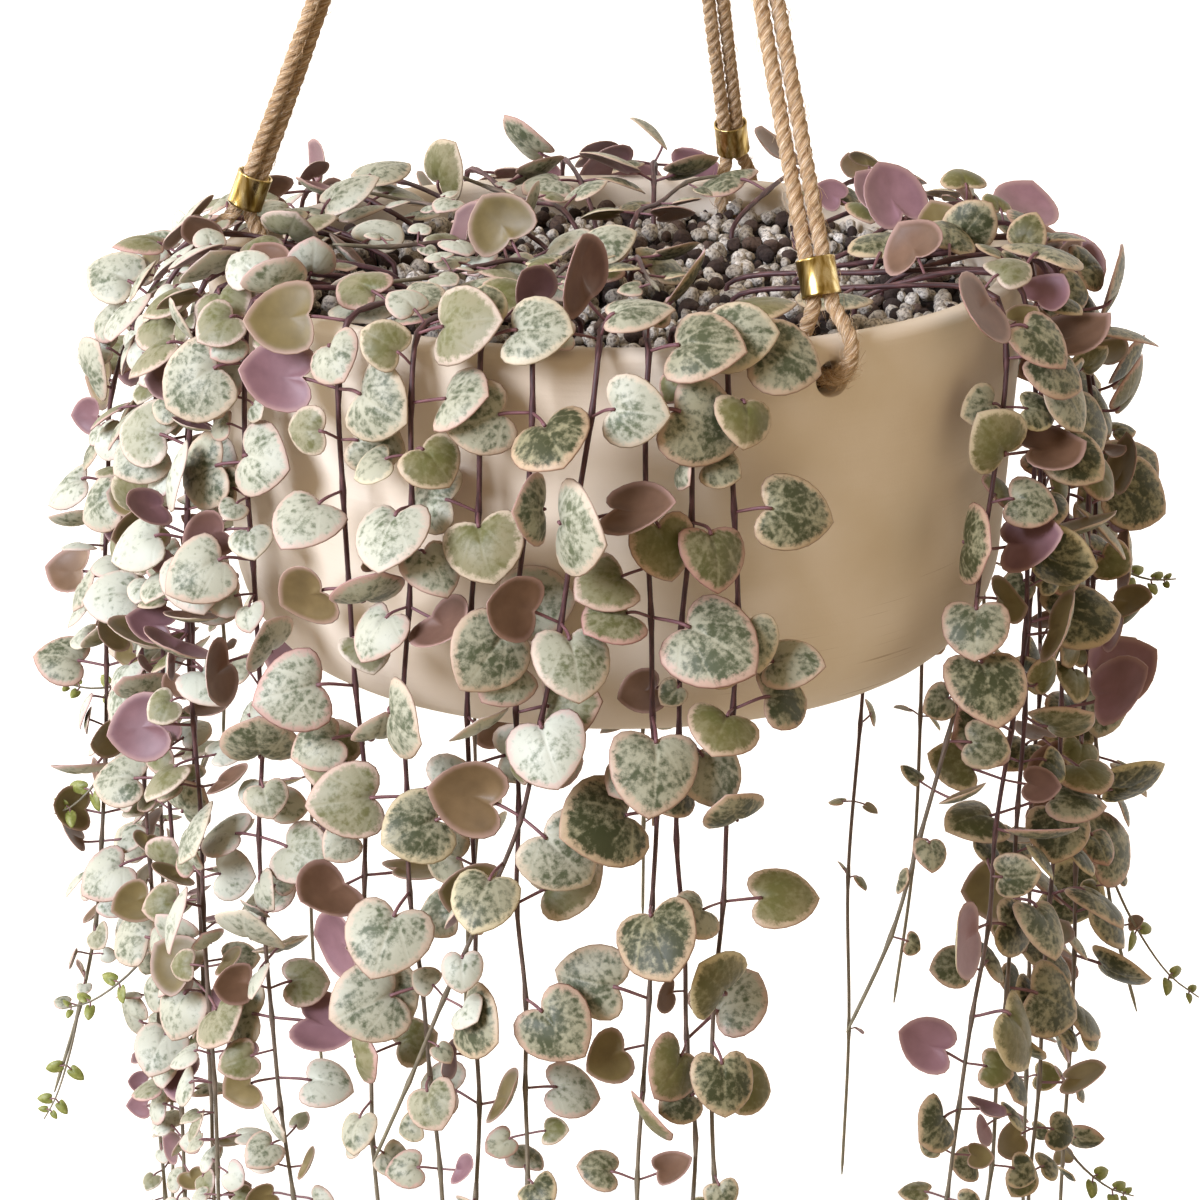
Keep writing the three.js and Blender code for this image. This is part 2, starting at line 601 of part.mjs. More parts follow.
// The leaves of one stem, in opposite pairs that turn a quarter from one pair to the next. Each
// leaf tries a few places, and is left out where none of them is clear.
function growLeaves(stem, others) {
  const last = stem.stations.length - 1;
  const grown = [];
  const leaves = [];
  for (let i = 2; i < last; i += 1) {
    const onCrest = stem.hangs && i === 3;
    const behind = stem.stations[i].z > -POT_HEIGHT - BELOW_POT; // the pot or soil is behind the stem
    const least = Math.abs(stem.headings[i].z) < UPRIGHT ? SPREAD.crown : 0;
    const sides = i === last - 1 ? [0] : [0, 180];
    for (const opposite of onCrest ? [] : sides) {
      const draw = draws(SEEDS.stem * stem.number + SEEDS.station * i + opposite);
      const whole = THREE.MathUtils.euclideanModulo(stem.phase + 90 * i + opposite + 180, 360) - 180;
      const angle = behind ? Math.sign(whole) * mix(least, SPREAD.wall, Math.abs(whole) / 180) : whole;
      const full = stem.leaf * (YOUNG[last - 1 - i] ?? 1) * (WIDTH.least + WIDTH.random * draw());
      const fallen = stem.hangs && Math.abs(whole) > SHADED.angle && draw() < SHADED.share;
      for (let attempt = fallen ? TRIES : 0; attempt < TRIES; attempt += 1) {
        const width = full * (1 - SHRINK * attempt);
        const leaf = leafPose(stem.stations[i], stem.headings[i], angle, width, draw);
        const lumps = leafLumps(leaf, stem, grown, others);
        if (lumps) {
          leaves.push({ ...leaf, at: i });
          grown.push(...lumps);
          break;
        }
      }
    }
  }
  return { leaves, lumps: grown };
}

// ---- Vine: one closed surface for a stem with its leaves ----

class Surface {
  constructor() {
    this.numbers = [];
    this.corners = [];
  }

  point(vector) {
    this.numbers.push(vector.x, vector.y, vector.z);
    return this.numbers.length / 3 - 1;
  }

  spot(index) {
    return new THREE.Vector3().fromArray(this.numbers, 3 * index);
  }

  face(...corners) {
    this.corners.push(...corners);
  }

  gap(a, b) {
    return this.spot(a).distanceTo(this.spot(b));
  }

  // Four corners, split along the diagonal from the first to the third or along the other.
  quad(a, b, c, d, first = this.gap(a, c) <= this.gap(b, d)) {
    if (first) this.face(a, b, c, a, c, d);
    else this.face(a, b, d, b, c, d);
  }

  // A sleeve between two loops that turn the same way round, split the way that twists it least.
  sleeve(from, to, skipped = () => false) {
    const after = (i) => (i + 1) % from.length;
    const total = (gaps) => gaps.reduce((sum, gap) => sum + gap, 0);
    const ahead = total(from.map((corner, i) => this.gap(corner, to[after(i)])));
    const back = total(from.map((_, i) => this.gap(from[after(i)], to[i])));
    from.forEach((corner, i) => {
      if (!skipped(i)) this.quad(corner, from[after(i)], to[after(i)], to[i], ahead <= back);
    });
  }

  geometry() {
    return closedGeometry(this.numbers, this.corners);
  }
}

// A stalk that narrows from four corners on the stem to the three corners of the leaf's loop,
// joined in the order that twists it least.
function addStalk(surface, root, loop) {
  const spokes = (ring) => {
    const spots = ring.map((corner) => surface.spot(corner));
    const { middle } = lump(spots, 0, UP);
    return spots.map((spot) => spot.sub(middle));
  };
  const from = spokes(root);
  const to = spokes(loop);
  const partner = (i, start) => (Math.min(i % 4, 2) + start) % 3;
  let best = { match: -Infinity };
  for (let turn = 0; turn < 4; turn += 1) {
    for (let start = 0; start < 3; start += 1) {
      const matches = [0, 1, 2, 3].map((i) => from[(i + turn) % 4].dot(to[partner(i, start)]));
      const match = matches.reduce((sum, one) => sum + one, 0);
      if (match > best.match) best = { match, turn, start };
    }
  }
  for (let i = 0; i < 4; i += 1) {
    const here = root[(i + best.turn) % 4];
    const next = root[(i + 1 + best.turn) % 4];
    const [near, far] = [partner(i, best.start), partner(i + 1, best.start)];
    if (near === far) surface.face(here, next, loop[far]);
    else surface.quad(here, next, loop[far], loop[near]);
  }
}

// The blade and its stalk grow out of one side of the stem, whose four corners are the root.
function addLeaf(surface, root, leaf) {
  const bisector = leaf.stalk.clone().add(leaf.along).normalize();
  const above = leaf.across.clone().cross(bisector);
  const ways = [leaf.across.clone(), above.clone().negate(), leaf.across.clone().negate()];
  const loop = ways.map((way) => surface.point(leaf.notch.clone().addScaledVector(way, STALK)));
  addStalk(surface, root, loop);
  const [right, below, left] = loop;
  const edge = bladeEdge(leaf).map((point) => surface.point(point));
  const upper = surface.point(bladeMiddle(leaf));
  const top = [right, ...edge, left];
  top.forEach((corner, i) => surface.face(upper, corner, top[(i + 1) % top.length]));
  surface.face(left, edge.at(-1), edge.at(-2));
  surface.face(edge[1], edge[0], right);
  const under = [left, ...edge.slice(1, -1).reverse(), right];
  under.slice(1).forEach((corner, i) => surface.face(below, under[i], corner));
}

function ringAt(surface, centre, heading, first) {
  const second = heading.clone().cross(first);
  return [0, 120, 240].map((degrees) => {
    const turn = radians(degrees);
    const spoke = first.clone().multiplyScalar(Math.cos(turn)).addScaledVector(second, Math.sin(turn));
    return surface.point(centre.clone().addScaledVector(spoke, STEM));
  });
}

// The stem's corners are turned so that one lies between the two leaves of a pair, and no
// further than they must be from the corners before.
function cornerWay(heading, before, here) {
  const first = squareTo(heading, before);
  if (!here.length) return first;
  const ways = here.map(({ stalk }) => squareTo(heading, stalk));
  let between = ways.reduce((sum, way) => sum.add(way), new THREE.Vector3());
  if (ways.length === 1 || between.length() < OPPOSED) between = heading.clone().cross(ways[0]);
  between = squareTo(heading, between);
  const turned = [0, 120, 240].map((degrees) =>
    between.clone().applyAxisAngle(heading, radians(degrees)),
  );
  return turned.reduce((best, way) => (way.dot(first) > best.dot(first) ? way : best));
}

function stemGeometry(stem, leaves) {
  const surface = new Surface();
  const last = stem.stations.length - 1;
  let first = squareTo(stem.headings[0], outward(stem.phase));
  let before = null;
  for (let i = 0; i < last; i += 1) {
    const heading = stem.headings[i];
    const here = leaves.filter((leaf) => leaf.at === i);
    first = cornerWay(heading, first, here);
    const half = here.length ? NODE_HALF : 0;
    const ring = ringAt(surface, stem.stations[i].clone().addScaledVector(heading, -half), heading, first);
    if (before) surface.sleeve(before, ring);
    else surface.face(ring[0], ring[2], ring[1]);
    before = ring;
    if (!here.length) continue;
    const after = ringAt(surface, stem.stations[i].clone().addScaledVector(heading, half), heading, first);
    const sides = [60, 180, 300].map((degrees) => first.clone().applyAxisAngle(heading, radians(degrees)));
    const taken = new Map();
    for (const leaf of here) {
      const free = [0, 1, 2].filter((side) => !taken.has(side));
      const facing = (side) => leaf.stalk.dot(sides[side]);
      taken.set(free.reduce((best, side) => (facing(side) > facing(best) ? side : best)), leaf);
    }
    surface.sleeve(ring, after, (side) => taken.has(side));
    for (const [side, leaf] of taken) {
      const next = (side + 1) % 3;
      addLeaf(surface, [ring[side], ring[next], after[next], after[side]], leaf);
    }
    before = after;
  }
  const tip = surface.point(stem.stations[last]);
  before.forEach((corner, i) => surface.face(corner, before[(i + 1) % 3], tip));
  return surface.geometry();
}

// ---- The vine as a whole ----

function makeStem(course, number, leaf, hangs) {
  const ways = headings(course);
  const lumps = course.slice(1).map((station, i) => {
    const from = course[i];
    return lump([from, station], STEM, station.clone().sub(from).normalize());
  });
  return { number, stations: course, headings: ways, lumps, leaf, hangs, phase: (137.5 * number) % 360 };
}

function hangerLumps(hanger) {
  const route = hangerRoute(hanger);
  const runs = route.slice(1).map((point, i) => {
    const from = route[i];
    return lump([from, point], ROPE_RADIUS + GAP, point.clone().sub(from).normalize());
  });
  const middle = ferruleMiddle(hanger.azimuth);
  const axis = UP.clone().addScaledVector(outward(hanger.azimuth), -FERRULE_LEAN).normalize();
  const ends = [-1, 1].map((way) => middle.clone().addScaledVector(axis, (way * FERRULE.length) / 2));
  return [...runs, lump(ends, FERRULE.radius, axis)];
}

function growVine() {
  const hanging = STRANDS.map((strand, i) =>
    makeStem(strandCourse(strand, draws(SEEDS.strands + SEEDS.apart * i)), i, strand.leaf, true),
  );
  const lying = SPRAYS.map((spray, i) =>
    makeStem(sprayCourse(spray, draws(SEEDS.sprays + SEEDS.apart * i)), 100 + i, spray.leaf, false),
  );
  const stems = [...hanging, ...lying];
  const hangers = HANGERS.flatMap(hangerLumps);
  const grown = [];
  for (const stem of stems) {
    const otherStems = stems.filter((other) => other !== stem).flatMap((other) => other.lumps);
    const leaves = grown.flatMap((other) => other.lumps);
    grown.push({ stem, ...growLeaves(stem, [...hangers, ...otherStems, ...leaves]) });
  }
  return grown;
}

// ---- Assembly ----

const ceramic = new THREE.MeshStandardMaterial({ color: 0xe9dfcf, roughness: 0.62 });
const earth = new THREE.MeshStandardMaterial({ color: 0x6d6258, roughness: 0.95 });
const jute = new THREE.MeshStandardMaterial({ color: 0xc9a27a, roughness: 0.9 });
const brass = new THREE.MeshStandardMaterial({ color: 0xc9a63a, roughness: 0.3, metalness: 1 });
const foliage = new THREE.MeshStandardMaterial({ color: 0x9fb8a4, roughness: 0.5 });

const planter = new THREE.Group();
planter.position.z = -HANG_DROP;

function addNode(name, geometry, material) {
  const mesh = new THREE.Mesh(geometry, material);
  mesh.name = name;
  planter.add(mesh);
}

const vine = growVine();
addNode("pot", potGeometry(), ceramic);
addNode("soil", soilGeometry(vine.map(({ stem }) => stem.stations[0])), earth);
for (const hanger of HANGERS) {
  addNode(`rope_${hanger.name}`, ropeGeometry(hanger), jute);
  addNode(`ferrule_${hanger.name}`, ferruleGeometry(hanger), brass);
}
addNode("gathering", gatheringGeometry(), jute);
addNode("hang_ring", ringGeometry(), brass);
for (const { stem, leaves } of vine) {
  const kind = stem.hangs ? "vine" : "crown";
  const number = String((stem.number % 100) + 1).padStart(2, "0");
  addNode(`${kind}_${number}`, stemGeometry(stem, leaves), foliage);
}

const part = new THREE.Group();
part.add(planter);
export default part;
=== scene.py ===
import math

import bmesh
import bpy
import numpy as np
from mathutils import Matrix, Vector, noise


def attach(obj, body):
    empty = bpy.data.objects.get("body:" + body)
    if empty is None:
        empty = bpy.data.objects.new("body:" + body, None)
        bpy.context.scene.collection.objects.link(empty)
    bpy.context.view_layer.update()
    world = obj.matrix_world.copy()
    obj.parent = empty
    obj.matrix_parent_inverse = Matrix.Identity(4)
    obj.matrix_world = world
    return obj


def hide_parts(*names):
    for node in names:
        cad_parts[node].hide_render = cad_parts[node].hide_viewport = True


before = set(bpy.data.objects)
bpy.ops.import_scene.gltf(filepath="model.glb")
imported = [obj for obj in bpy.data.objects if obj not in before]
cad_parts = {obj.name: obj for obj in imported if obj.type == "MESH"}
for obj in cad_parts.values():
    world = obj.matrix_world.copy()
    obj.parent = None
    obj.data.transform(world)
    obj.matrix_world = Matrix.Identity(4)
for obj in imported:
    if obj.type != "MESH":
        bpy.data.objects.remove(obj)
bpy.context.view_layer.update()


# ---- Camera ----
# A long lens a little to the left of the pot's axis, looking down over the rim.

CAMERA_AT = (-0.0043, -0.850, -0.0902)
CAMERA_DOWN = 18.05  # degrees under level
LENS = 106.3
SENSOR = 36

camera = bpy.data.objects.new("camera", bpy.data.cameras.new("camera"))
camera.location = CAMERA_AT
camera.rotation_euler = (math.radians(90 - CAMERA_DOWN), 0, 0)
camera.data.sensor_width = SENSOR
camera.data.lens = LENS
camera.data.clip_start = 0.05
camera.data.clip_end = 60
bpy.context.scene.collection.objects.link(camera)
bpy.context.scene.camera = camera


# ---- Hangers ----
# Three jute ropes, each laid double: down from the whipping, round the pot's wall through its
# hole, and back up. Three strands are twisted together, and loose fibres stand off them.

HANG_DROP = 278.0  # millimetres from the hook down to the rim plane
HANGERS = [("front", 28.5, 1), ("back", 160.5, -1), ("left", -100.0, 1)]  # azimuth, hand
ROPE_RADIUS = 1.75
ROPE_FLUFF = 0.12  # how far the strands' crowns stand out past that radius
# Distance from the pot's axis, sideways, height over the rim plane, in millimetres.
LEG_INSIDE = [
    (4.7, -1.9, 235.6), (34.2, -1.9, 160), (61.5, -1.85, 90), (80.2, -1.55, 40), (88.8, -1.4, 18),
    (92.5, -1.4, 8.5), (93.0, -1.45, 7.1), (92.6, -1.8, 4.4), (91.0, -2.0, 1), (89.6, -2.1, -2.3),
    (90.2, -1.6, -6.0), (92.6, -0.8, -8.5),
]
LOOP_LOW = (96.5, 0, -9.3)
LEG_OUTSIDE = [
    (100.4, 0.8, -8.5), (102.8, 1.6, -6.0), (103.4, 2.1, -2.3), (102.7, 2.1, 0.5), (100.7, 1.9, 2.9),
    (98.3, 1.6, 5.2), (96.2, 1.4, 7.1), (95.6, 1.4, 8.5), (91.5, 1.4, 18), (82.6, 1.55, 40),
    (62.5, 1.85, 90), (34.8, 1.9, 160), (4.7, 1.9, 235.6),
]
STRAND_RADIUS = 1.2
STRAND_OUT = 0.5  # from the rope's middle to the middle of each of its three strands
ROPE_LAY = 9.0  # millimetres of rope in which a strand goes once round
ROPE_STEP = 0.9
ROPE_CORNERS = 24
ROPE_FIBRES = 1853
FIBRE_REACH = 2.1  # how far a fibre may stand off the rope
WORN_FIBRES = 240  # more of them where the rope bends out of the hole
WORN_REACH = 2.3
WORN_STEPS = (-5, 6)  # of the route, before and after that bend
FIBRE_LENGTH = (1.6, 6.0)
FIBRE_RADIUS = (0.04, 0.085)  # thicker than a real fibre, which would not show
FIBRE_SHARES = np.array([0.0, 0.5, 1.0])  # where along a fibre its rings stand
# Jute's own hairs are under 0.1 mm wide. They are drawn coarser, so that they show.
HAIR_WIDTH = 0.385
HAIR_LENGTH = 2.38
HAIR_SLANT = 0.55  # radians off the rope's length, as the yarns lie in the strands
SHADE_PATCH = (4.0, 8.33)  # millimetres round the rope and along it


def outward(azimuth):
    turn = math.radians(azimuth)
    return np.array([math.sin(turn), -math.cos(turn), 0.0])


def place(azimuth, radius, height):
    return outward(azimuth) * radius + np.array([0.0, 0.0, height])


def to_frame(points):
    """Millimetres about the middle of the rim plane, to metres about the hook."""
    return (np.asarray(points, float) - (0.0, 0.0, HANG_DROP)) * 0.001


def unit(vector):
    return vector / (np.linalg.norm(vector) or 1.0)


def smooth_route(points, step):
    """A centripetal Catmull-Rom curve through the points, cut into steps of about one length."""
    points = np.asarray(points, float)
    ends = [2 * points[0] - points[1], *points, 2 * points[-1] - points[-2]]
    route = []
    for a, b, c, d in zip(ends, ends[1:], ends[2:], ends[3:]):
        t1 = math.sqrt(np.linalg.norm(b - a))
        t2 = t1 + math.sqrt(np.linalg.norm(c - b))
        t3 = t2 + math.sqrt(np.linalg.norm(d - c))
        count = max(1, round(np.linalg.norm(c - b) / step))
        for t in np.linspace(t1, t2, count, endpoint=False):
            ab = a * (t1 - t) / t1 + b * t / t1
            bc = b * (t2 - t) / (t2 - t1) + c * (t - t1) / (t2 - t1)
            cd = c * (t3 - t) / (t3 - t2) + d * (t - t2) / (t3 - t2)
            abc = ab * (t2 - t) / t2 + bc * t / t2
            bcd = bc * (t3 - t) / (t3 - t1) + cd * (t - t1) / (t3 - t1)
            route.append(abc * (t2 - t) / (t2 - t1) + bcd * (t - t1) / (t2 - t1))
    return np.array([*route, points[-1]])


def frames_along(route):
    """Unit headings along a route, and two directions square to each that never spin."""
    headings = np.gradient(route, axis=0)
    headings /= np.linalg.norm(headings, axis=1)[:, None]
    side = np.array([0.3, 0.2, 0.9])
    sides = []
    for heading in headings:
        side = unit(side - heading * (side @ heading))
        sides.append(side)
    sides = np.array(sides)
    return headings, sides, np.cross(headings, sides)


def distance_along(route):
    steps = np.linalg.norm(np.diff(route, axis=0), axis=1)
    return np.concatenate([[0], np.cumsum(steps)])


def full_turn(count):
    return 2 * np.pi * np.arange(count) / count


class Mesh:
    """Collects vertices and faces in millimetres, with a UV and a tone for each vertex."""

    def __init__(self):
        self.spots, self.uvs, self.tones, self.faces, self.slots = [], [], [], [], []
        self.count = 0

    def points(self, spots, uvs=None, tone=(0, 0, 0, 0)):
        """Adds vertices, and gives their numbers."""
        spots = np.asarray(spots, float).reshape(-1, 3)
        start = self.count
        self.spots.append(spots)
        self.uvs.append(np.zeros((len(spots), 2)) if uvs is None else np.reshape(uvs, (-1, 2)))
        self.tones.append(np.broadcast_to(tone, (len(spots), 4)))
        self.count += len(spots)
        return np.arange(start, self.count)

    def face(self, corners, slot=0):
        self.faces.append(tuple(int(corner) for corner in corners))
        self.slots.append(slot)

    def sleeve(self, before, after, slot=0):
        """Joins two rings with as many corners, face by face."""
        for i in range(len(before)):
            j = (i + 1) % len(before)
            self.face((before[i], before[j], after[j], after[i]), slot)

    def tube(self, rings, slot=0):
        """Joins a row of rings and closes both ends."""
        self.face(rings[0][::-1], slot)
        for before, after in zip(rings, rings[1:]):
            self.sleeve(before, after, slot)
        self.face(rings[-1], slot)

    def piece(self, name, materials, node, slot):
        """Makes the object. It rides on the one body and takes the place of a node, if named."""
        data = bpy.data.meshes.new(name)
        data.from_pydata(to_frame(np.concatenate(self.spots)).tolist(), [], self.faces)
        for material in materials:
            data.materials.append(material)
        data.polygons.foreach_set("material_index", self.slots)
        data.polygons.foreach_set("use_smooth", [True] * len(self.faces))
        corners = np.zeros(len(data.loops), int)
        data.loops.foreach_get("vertex_index", corners)
        uv_layer = data.uv_layers.new(name="UVMap")
        uv_layer.data.foreach_set("uv", np.concatenate(self.uvs)[corners].ravel())
        tone = data.attributes.new("tone", "FLOAT_COLOR", "POINT")
        tone.data.foreach_set("color", np.concatenate(self.tones).ravel())
        data.validate()
        made = bpy.data.objects.new(name, data)
        bpy.context.scene.collection.objects.link(made)
        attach(made, "root")
        if node:
            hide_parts(node)
        return made


def linear(hex_colour):
    """A colour written as sRGB hex, as the linear numbers that shaders take."""
    parts = [int(hex_colour[i : i + 2], 16) / 255 for i in (1, 3, 5)]
    return (*[p / 12.92 if p <= 0.04045 else ((p + 0.055) / 1.055) ** 2.4 for p in parts], 1.0)


def set_sockets(tree, node, values):
    """Gives a node's inputs plain values, hex colours or links from other nodes' outputs."""
    for name, value in values.items():
        if isinstance(value, bpy.types.NodeSocket):
            tree.links.new(value, node.inputs[name])
        else:
            node.inputs[name].default_value = linear(value) if isinstance(value, str) else value


def add_node(tree, kind, values=None, stops=(), **settings):
    """Adds a shader node with its settings, links and colour stops, and gives its outputs.

    A Mix node takes its share and its two colours at inputs 0, 6 and 7, and gives output 2.
    """
    made = tree.nodes.new("ShaderNode" + kind)
    for name, value in settings.items():
        setattr(made, name, value)
    set_sockets(tree, made, values or {})
    if stops:
        elements = made.color_ramp.elements
        while len(elements) < len(stops):
            elements.new(0.5)
        for element, (position, colour) in zip(elements, stops):
            element.position, element.color = position, linear(colour)
    return made.outputs


def new_material(name, values):
    """A material, its node tree and its Principled shader, with plain values on the shader."""
    material = bpy.data.materials.new(name)
    material.use_nodes = True
    tree = material.node_tree
    shader = tree.nodes["Principled BSDF"]
    set_sockets(tree, shader, values)
    return material, tree, shader


def jute_material():
    """Twisted bast fibre: tan, with paler and darker hairs along each strand, and painted shade darkening the
    grooves between strands.
    """
    material, tree, shader = new_material(
        "jute_twisted",
        {"Roughness": 0.92, "Sheen Weight": 0.35, "Sheen Roughness": 0.6, "Sheen Tint": "#F3DDBB"},
    )
    along = add_node(tree, "UVMap", uv_map="UVMap")["UV"]
    tone = add_node(tree, "Attribute", attribute_name="tone")["Color"]
    painted_groove_shade = add_node(tree, "SeparateColor", {"Color": tone})["Red"]
    hair_scale = (1 / HAIR_WIDTH, 1 / HAIR_LENGTH, 1)
    yarns = add_node(
        tree, "Mapping", {"Vector": along, "Rotation": (0, 0, HAIR_SLANT), "Scale": hair_scale}
    )["Vector"]
    hairs = add_node(
        tree, "TexNoise", {"Vector": yarns, "Scale": 1.0, "Detail": 4.0, "Roughness": 0.62}
    )["Fac"]
    patch_scale = (1 / SHADE_PATCH[0], 1 / SHADE_PATCH[1], 1)
    patched = add_node(tree, "Mapping", {"Vector": along, "Scale": patch_scale})["Vector"]
    patches = add_node(tree, "TexNoise", {"Vector": patched, "Scale": 1.0, "Detail": 2.0})["Fac"]
    colour = add_node(
        tree, "ValToRGB", {"Fac": hairs},
        stops=[(0.32, "#7A5534"), (0.43, "#B28A5C"), (0.52, "#DCBE94"), (0.63, "#FBEFDC")],
    )["Color"]
    # The patches are the jute's own tone; the groove colour is painted shade between the strands.
    for pattern, strength, shade in ((patches, 0.3, "#C6A27A"), (painted_groove_shade, 0.55, "#7A5636")):
        share = add_node(tree, "Math", {0: pattern, 1: strength}, operation="MULTIPLY")[0]
        colour = add_node(tree, "Mix", {0: share, 6: colour, 7: shade}, data_type="RGBA")[2]
    bump = add_node(tree, "Bump", {"Height": hairs, "Strength": 0.9, "Distance": 0.0005})["Normal"]
    set_sockets(tree, shader, {"Base Color": colour, "Normal": bump})
    return material


def add_rope(mesh, route, radius, lay):
    """A three-strand rope along a route. Its UV runs round and along it in millimetres."""
    scale = radius / (STRAND_OUT + STRAND_RADIUS)
    _, sides, ups = frames_along(route)
    gone = distance_along(route)
    corner_turns = full_turn(ROPE_CORNERS)
    from_strand = (corner_turns + np.pi / 3) % (2 * np.pi / 3) - np.pi / 3
    reach = STRAND_OUT * np.cos(from_strand)
    reach += np.sqrt(STRAND_RADIUS**2 - (STRAND_OUT * np.sin(from_strand)) ** 2)
    # Painted shade: the colour darkens towards the grooves between the strands, where shade would fall.
    painted_groove_shades = (np.abs(from_strand) / (np.pi / 3)) ** 2
    tones = np.stack([painted_groove_shades, *np.zeros((3, ROPE_CORNERS))], 1)
    rings = []
    for i, spot in enumerate(route):
        turns = corner_turns + 2 * np.pi * gone[i] / lay
        spokes = np.outer(np.cos(turns), sides[i]) + np.outer(np.sin(turns), ups[i])
        uvs = np.stack([corner_turns * radius, np.full(ROPE_CORNERS, gone[i])], 1)
        rings.append(mesh.points(spot + spokes * (reach * scale)[:, None], uvs, tones))
    mesh.tube(rings)


def add_fibres(mesh, route, radius, count, random, reach, stretch):
    """Loose hairs that spring from a stretch of a rope's route and bend back along it."""
    headings, sides, ups = frames_along(route)
    for _ in range(count):
        i = random.integers(*stretch)
        turn = random.uniform(0, 2 * np.pi)
        out = sides[i] * math.cos(turn) + ups[i] * math.sin(turn)
        along = headings[i] * random.choice([-1, 1])
        round_way = np.cross(out, along) * random.uniform(-0.6, 0.6)
        length = random.uniform(*FIBRE_LENGTH)
        lift = random.uniform(0.3, 1.0) * min(reach, 0.55 * length)
        thick = random.uniform(*FIBRE_RADIUS)
        rises = radius * 0.8 + lift * np.sin(FIBRE_SHARES * random.uniform(1.4, 2.6))
        runs = np.outer(FIBRE_SHARES * length * 0.9, along + round_way)
        spots = route[i] + np.outer(rises, out) + runs
        near = route[max(0, i - 8) : i + 9]
        if np.linalg.norm(spots[:, None] - near, axis=2).min(axis=1).max() > radius + reach:
            continue
        across = np.cross(along, out) * 0.87
        rings = []
        for share, spot in zip(FIBRE_SHARES, spots):
            width = thick * (1 - 0.6 * share)
            ways = (out, across - out / 2, -across - out / 2)
            corners = [spot + way * width for way in ways]
            rings.append(mesh.points(corners, [(turn * radius, share * 3)] * 3))
        mesh.tube(rings)


def rope_points(azimuth, hand):
    """A hanger's points, down its inner leg, round the wall and up its outer leg."""
    return [
        place(azimuth, radius, height) + outward(azimuth + 90) * side * hand
        for radius, side, height in [*LEG_INSIDE, LOOP_LOW, *LEG_OUTSIDE]
    ]


jute = jute_material()
ropes = {}
rope_random = np.random.default_rng(41)
for name, azimuth, hand in HANGERS:
    points = rope_points(azimuth, hand)
    rope_route = smooth_route(points, ROPE_STEP)
    rope_mesh = Mesh()
    add_rope(rope_mesh, rope_route, ROPE_RADIUS + ROPE_FLUFF, ROPE_LAY)
    whole = (2, len(rope_route) - 2)
    add_fibres(rope_mesh, rope_route, ROPE_RADIUS, ROPE_FIBRES, rope_random, FIBRE_REACH, whole)
    bend = int(np.linalg.norm(rope_route - points[len(LEG_INSIDE) + 1], axis=1).argmin())
    worn = [bend + steps for steps in WORN_STEPS]
    add_fibres(rope_mesh, rope_route, ROPE_RADIUS, WORN_FIBRES, rope_random, WORN_REACH, worn)
    ropes[name] = (rope_mesh.piece(f"hanger_rope_{name}", [jute], f"rope_{name}", "jute"), rope_route)


# ---- Ferrules ----
# Plain brass tubes with slightly rolled ends, drawn, cut and polished. Each is pushed over the
# two legs of a rope and sits a little over the rim.

FERRULE_RADIUS = 4.4
FERRULE_HALF = 4.3
FERRULE_WALL = 0.42
FERRULE_OUT = 92.4
FERRULE_HEIGHT = 12.5
FERRULE_LEAN = 0.392  # outward run of a hanger for each millimetre of drop
FERRULE_CORNERS = 48
# Drawing lines lie a few hundredths of a millimetre apart. They are drawn coarser, so that they
# show. Sizes are in millimetres: across, across and along.
DRAWN_LINES = (0.1923, 0.1923, 6.25)
DULL_SPOTS = (1.613, 1.613, 11.11)


def to_metre(*sizes):
    """How many of each size, in millimetres, go into a metre."""
    return tuple(1000 / size for size in sizes)


def brass_material(name, roughness):
    """Polished brass with fine drawing lines, a few dull spots and a warm tarnish in them."""
    material, tree, shader = new_material(name, {"Metallic": 1.0, "Roughness": roughness})
    where = add_node(tree, "TexCoord")["Object"]
    drawn = add_node(tree, "Mapping", {"Vector": where, "Scale": to_metre(*DRAWN_LINES)})["Vector"]
    lines = add_node(tree, "TexNoise", {"Vector": drawn, "Scale": 1.0, "Detail": 3.0})["Fac"]
    dull = add_node(tree, "Mapping", {"Vector": where, "Scale": to_metre(*DULL_SPOTS)})["Vector"]
    spots = add_node(tree, "TexNoise", {"Vector": dull, "Scale": 1.0, "Detail": 4.0})["Fac"]
    colour = add_node(
        tree, "ValToRGB", {"Fac": spots},
        stops=[(0.36, "#DACA9C"), (0.5, "#B79E62"), (0.62, "#82682F")],
    )["Color"]
    rough = add_node(
        tree, "MapRange", {"Value": spots, "To Min": roughness - 0.08, "To Max": roughness + 0.2}
    )["Result"]
    bump = add_node(tree, "Bump", {"Height": lines, "Strength": 0.12, "Distance": 0.00008})["Normal"]
    set_sockets(tree, shader, {"Base Color": colour, "Roughness": rough, "Normal": bump})
    return material


def add_turned(mesh, profile, sides, matrix=None, middle=(0, 0, 0)):
    """A profile of (radius, height) swept round its axis, closed on itself or at the axis."""
    matrix = np.eye(3) if matrix is None else matrix
    turns = full_turn(sides)
    rings = []
    for radius, height in profile:
        if radius == 0:
            rings.append(mesh.points(matrix @ np.array([0, 0, height]) + middle, [(0, height)]))
            continue
        ring = np.stack([radius * np.cos(turns), radius * np.sin(turns), np.full(sides, height)], 1)
        uvs = np.stack([turns * radius, np.full(sides, height)], 1)
        rings.append(mesh.points(ring @ matrix.T + middle, uvs))
    closed = profile[0][0] != 0 and profile[-1][0] != 0
    for before, after in zip(rings, rings[1:] + rings[:1] if closed else rings[1:]):
        for i in range(sides):
            j = (i + 1) % sides
            if len(before) == 1:
                mesh.face((before[0], after[j], after[i]))
            elif len(after) == 1:
                mesh.face((before[i], before[j], after[0]))
            else:
                mesh.face((before[i], before[j], after[j], after[i]))


brass = brass_material("brass_polished", 0.24)
inner = FERRULE_RADIUS - FERRULE_WALL
